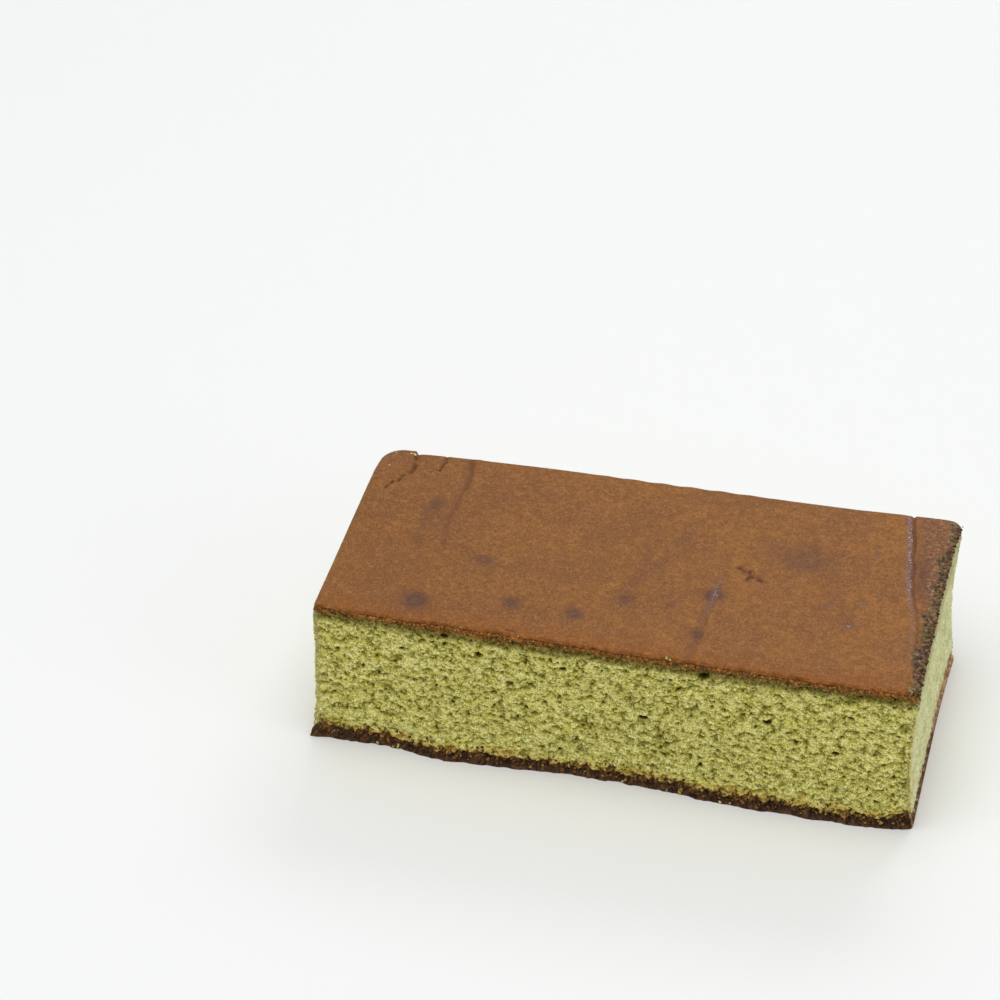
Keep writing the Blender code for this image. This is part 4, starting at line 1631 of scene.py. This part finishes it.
def make_dark_crumbs(tree):
    """Scorched crumbs along the foot and on the rough strip of the right rim."""
    rng = np.random.default_rng(19)
    count = 560
    x = rng.uniform(-0.99, 0.99, count) * LENGTH / 2
    z = 0.9 * MM + rng.beta(1.1, 2.4, count) * 6.5 * MM
    foot = on_skin(x, np.full(count, -WIDTH / 2), z, sink=0.7 * MM)
    rim_count = 430
    rim_x = LENGTH / 2 - 0.2 * MM - rng.beta(1.0, 2.2, rim_count) * 4.6 * MM
    rim_y = rng.uniform(-0.98, 0.94, rim_count) * WIDTH / 2
    rim = on_skin(rim_x, rim_y, np.full(rim_count, HEIGHT)) - np.array([0, 0, 0.3 * MM])
    edge_count = 520
    edge_x = rng.uniform(-0.99, 0.99, edge_count) * LENGTH / 2
    edge_z = HEIGHT - 0.2 * MM - rng.beta(1.0, 2.2, edge_count) * 3.5 * MM
    edge = on_skin(edge_x, np.full(edge_count, -WIDTH / 2), edge_z, sink=0.35 * MM)
    lump_along, lump_size = np.array(EDGE_LUMPS).T
    lumps = on_skin(lump_along * LENGTH / 2, np.full(len(lump_along), -WIDTH / 2 + 0.6 * MM), np.full(len(lump_along), HEIGHT))
    points = np.concatenate([foot, rim, edge, lumps])
    width = np.concatenate([
        0.6 + 1.5 * rng.beta(1.2, 2.6, count),
        rng.uniform(0.4, 1.0, rim_count),
        rng.uniform(0.35, 0.95, edge_count),
        lump_size,
    ]) * MM
    points[:, 2] = np.minimum(points[:, 2], CAD_BOX[1][2] - 0.6 * width)
    tint = np.concatenate([
        rng.uniform(0, 1.0, count),
        rng.uniform(0, 0.9, rim_count),
        rng.uniform(0.55, 1.0, edge_count),
        np.full(len(lump_along), 0.72),
    ])
    material = crumb_material(
        "dark_crumbs",
        (0.0, srgb(36, 25, 19)),
        (0.45, srgb(74, 46, 30)),
        (0.7, srgb(128, 74, 38)),
        (0.85, srgb(150, 98, 50)),
        (1.0, srgb(190, 154, 80)),
    )
    dress(crumb_points("dark_crumbs", points, width, tint, tree, material))


# ---------------------------------------------------------------- camera, floor and light

CAMERA_AZIMUTH = math.radians(13.51)
CAMERA_ELEVATION = math.radians(36.71)
CAMERA_DISTANCE = 1107 * MM
CAMERA_ASIDE = -42.0 * MM
CAMERA_RAISED = 59.8 * MM
LENS = 130.0


def add_camera():
    """A long lens from the front right, turned so that the cake lies right of the middle."""
    flat = math.cos(CAMERA_ELEVATION)
    back = Vector((
        math.sin(CAMERA_AZIMUTH) * flat,
        -math.cos(CAMERA_AZIMUTH) * flat,
        math.sin(CAMERA_ELEVATION),
    ))
    right = Vector((0, 0, 1)).cross(back).normalized()
    up = back.cross(right)
    data = bpy.data.cameras.new("camera")
    data.lens = LENS
    data.clip_end = 10
    camera = bpy.data.objects.new("camera", data)
    turn = Matrix((right, up, back)).transposed().to_4x4()
    place = Vector(BLOCK_ORIGIN) + right * CAMERA_ASIDE + up * CAMERA_RAISED + back * CAMERA_DISTANCE
    camera.matrix_world = Matrix.Translation(place) @ turn
    bpy.context.scene.collection.objects.link(camera)
    bpy.context.scene.camera = camera


def add_floor():
    """A table top that curves up far behind the cake."""
    reach, rise, radius = 1.6, 1.2, 0.5
    turn = np.linspace(0, np.pi / 2, 13)
    profile = [(-reach, 0.0)]
    profile += [(reach - radius + radius * math.sin(t), radius * (1 - math.cos(t))) for t in turn]
    profile.append((reach, rise))
    places = [(side * 2.5, y, z) for y, z in profile for side in (-1, 1)]
    faces = [(2 * k, 2 * k + 1, 2 * k + 3, 2 * k + 2) for k in range(len(profile) - 1)]
    mesh = bpy.data.meshes.new("table")
    mesh.from_pydata(places, [], faces)
    mesh.shade_smooth()
    floor = new_object("table", mesh)
    material, web, shader = new_material("pale_table", 0.7, 0.5)
    shader.inputs["Base Color"].default_value = srgb(240, 240, 238)
    mesh.materials.append(material)


def add_light(name, place, aim, size, power, colour=(1, 1, 1)):
    data = bpy.data.lights.new(name, "AREA")
    data.shape = "RECTANGLE"
    data.size, data.size_y = size
    data.energy = power
    data.color = colour
    light = bpy.data.objects.new(name, data)
    light.location = place
    light.rotation_euler = (Vector(aim) - Vector(place)).to_track_quat("-Z", "Y").to_euler()
    bpy.context.scene.collection.objects.link(light)


def add_lighting():
    world = bpy.data.worlds.new("room")
    world.use_nodes = True
    backdrop = world.node_tree.nodes["Background"]
    backdrop.inputs["Color"].default_value = (0.95, 0.97, 1.0, 1.0)
    backdrop.inputs["Strength"].default_value = 0.53
    bpy.context.scene.world = world
    add_light("overhead", (-0.2, -0.35, 1.5), (0, 0, 0), (1.5, 1.5), 13.5)
    add_light("window", (0.15, 1.5, 1.1), (0, 0, 0), (1.0, 0.8), 9, (0.96, 0.98, 1.0))
    add_light("fill", (1.6, -0.5, 0.7), (0, 0, 0), (1.0, 1.0), 3)
    bpy.context.scene.view_settings.view_transform = "Standard"


def main():
    crumb = crumb_tree()
    baked = skin_tree()
    pebble = pebble_tree()
    make_cut_face(crumb)
    make_sides(crumb)
    make_top(baked)
    make_base(baked)
    make_foot_crumbs(pebble)
    make_dark_crumbs(pebble)
    add_camera()
    add_floor()
    add_lighting()


main()
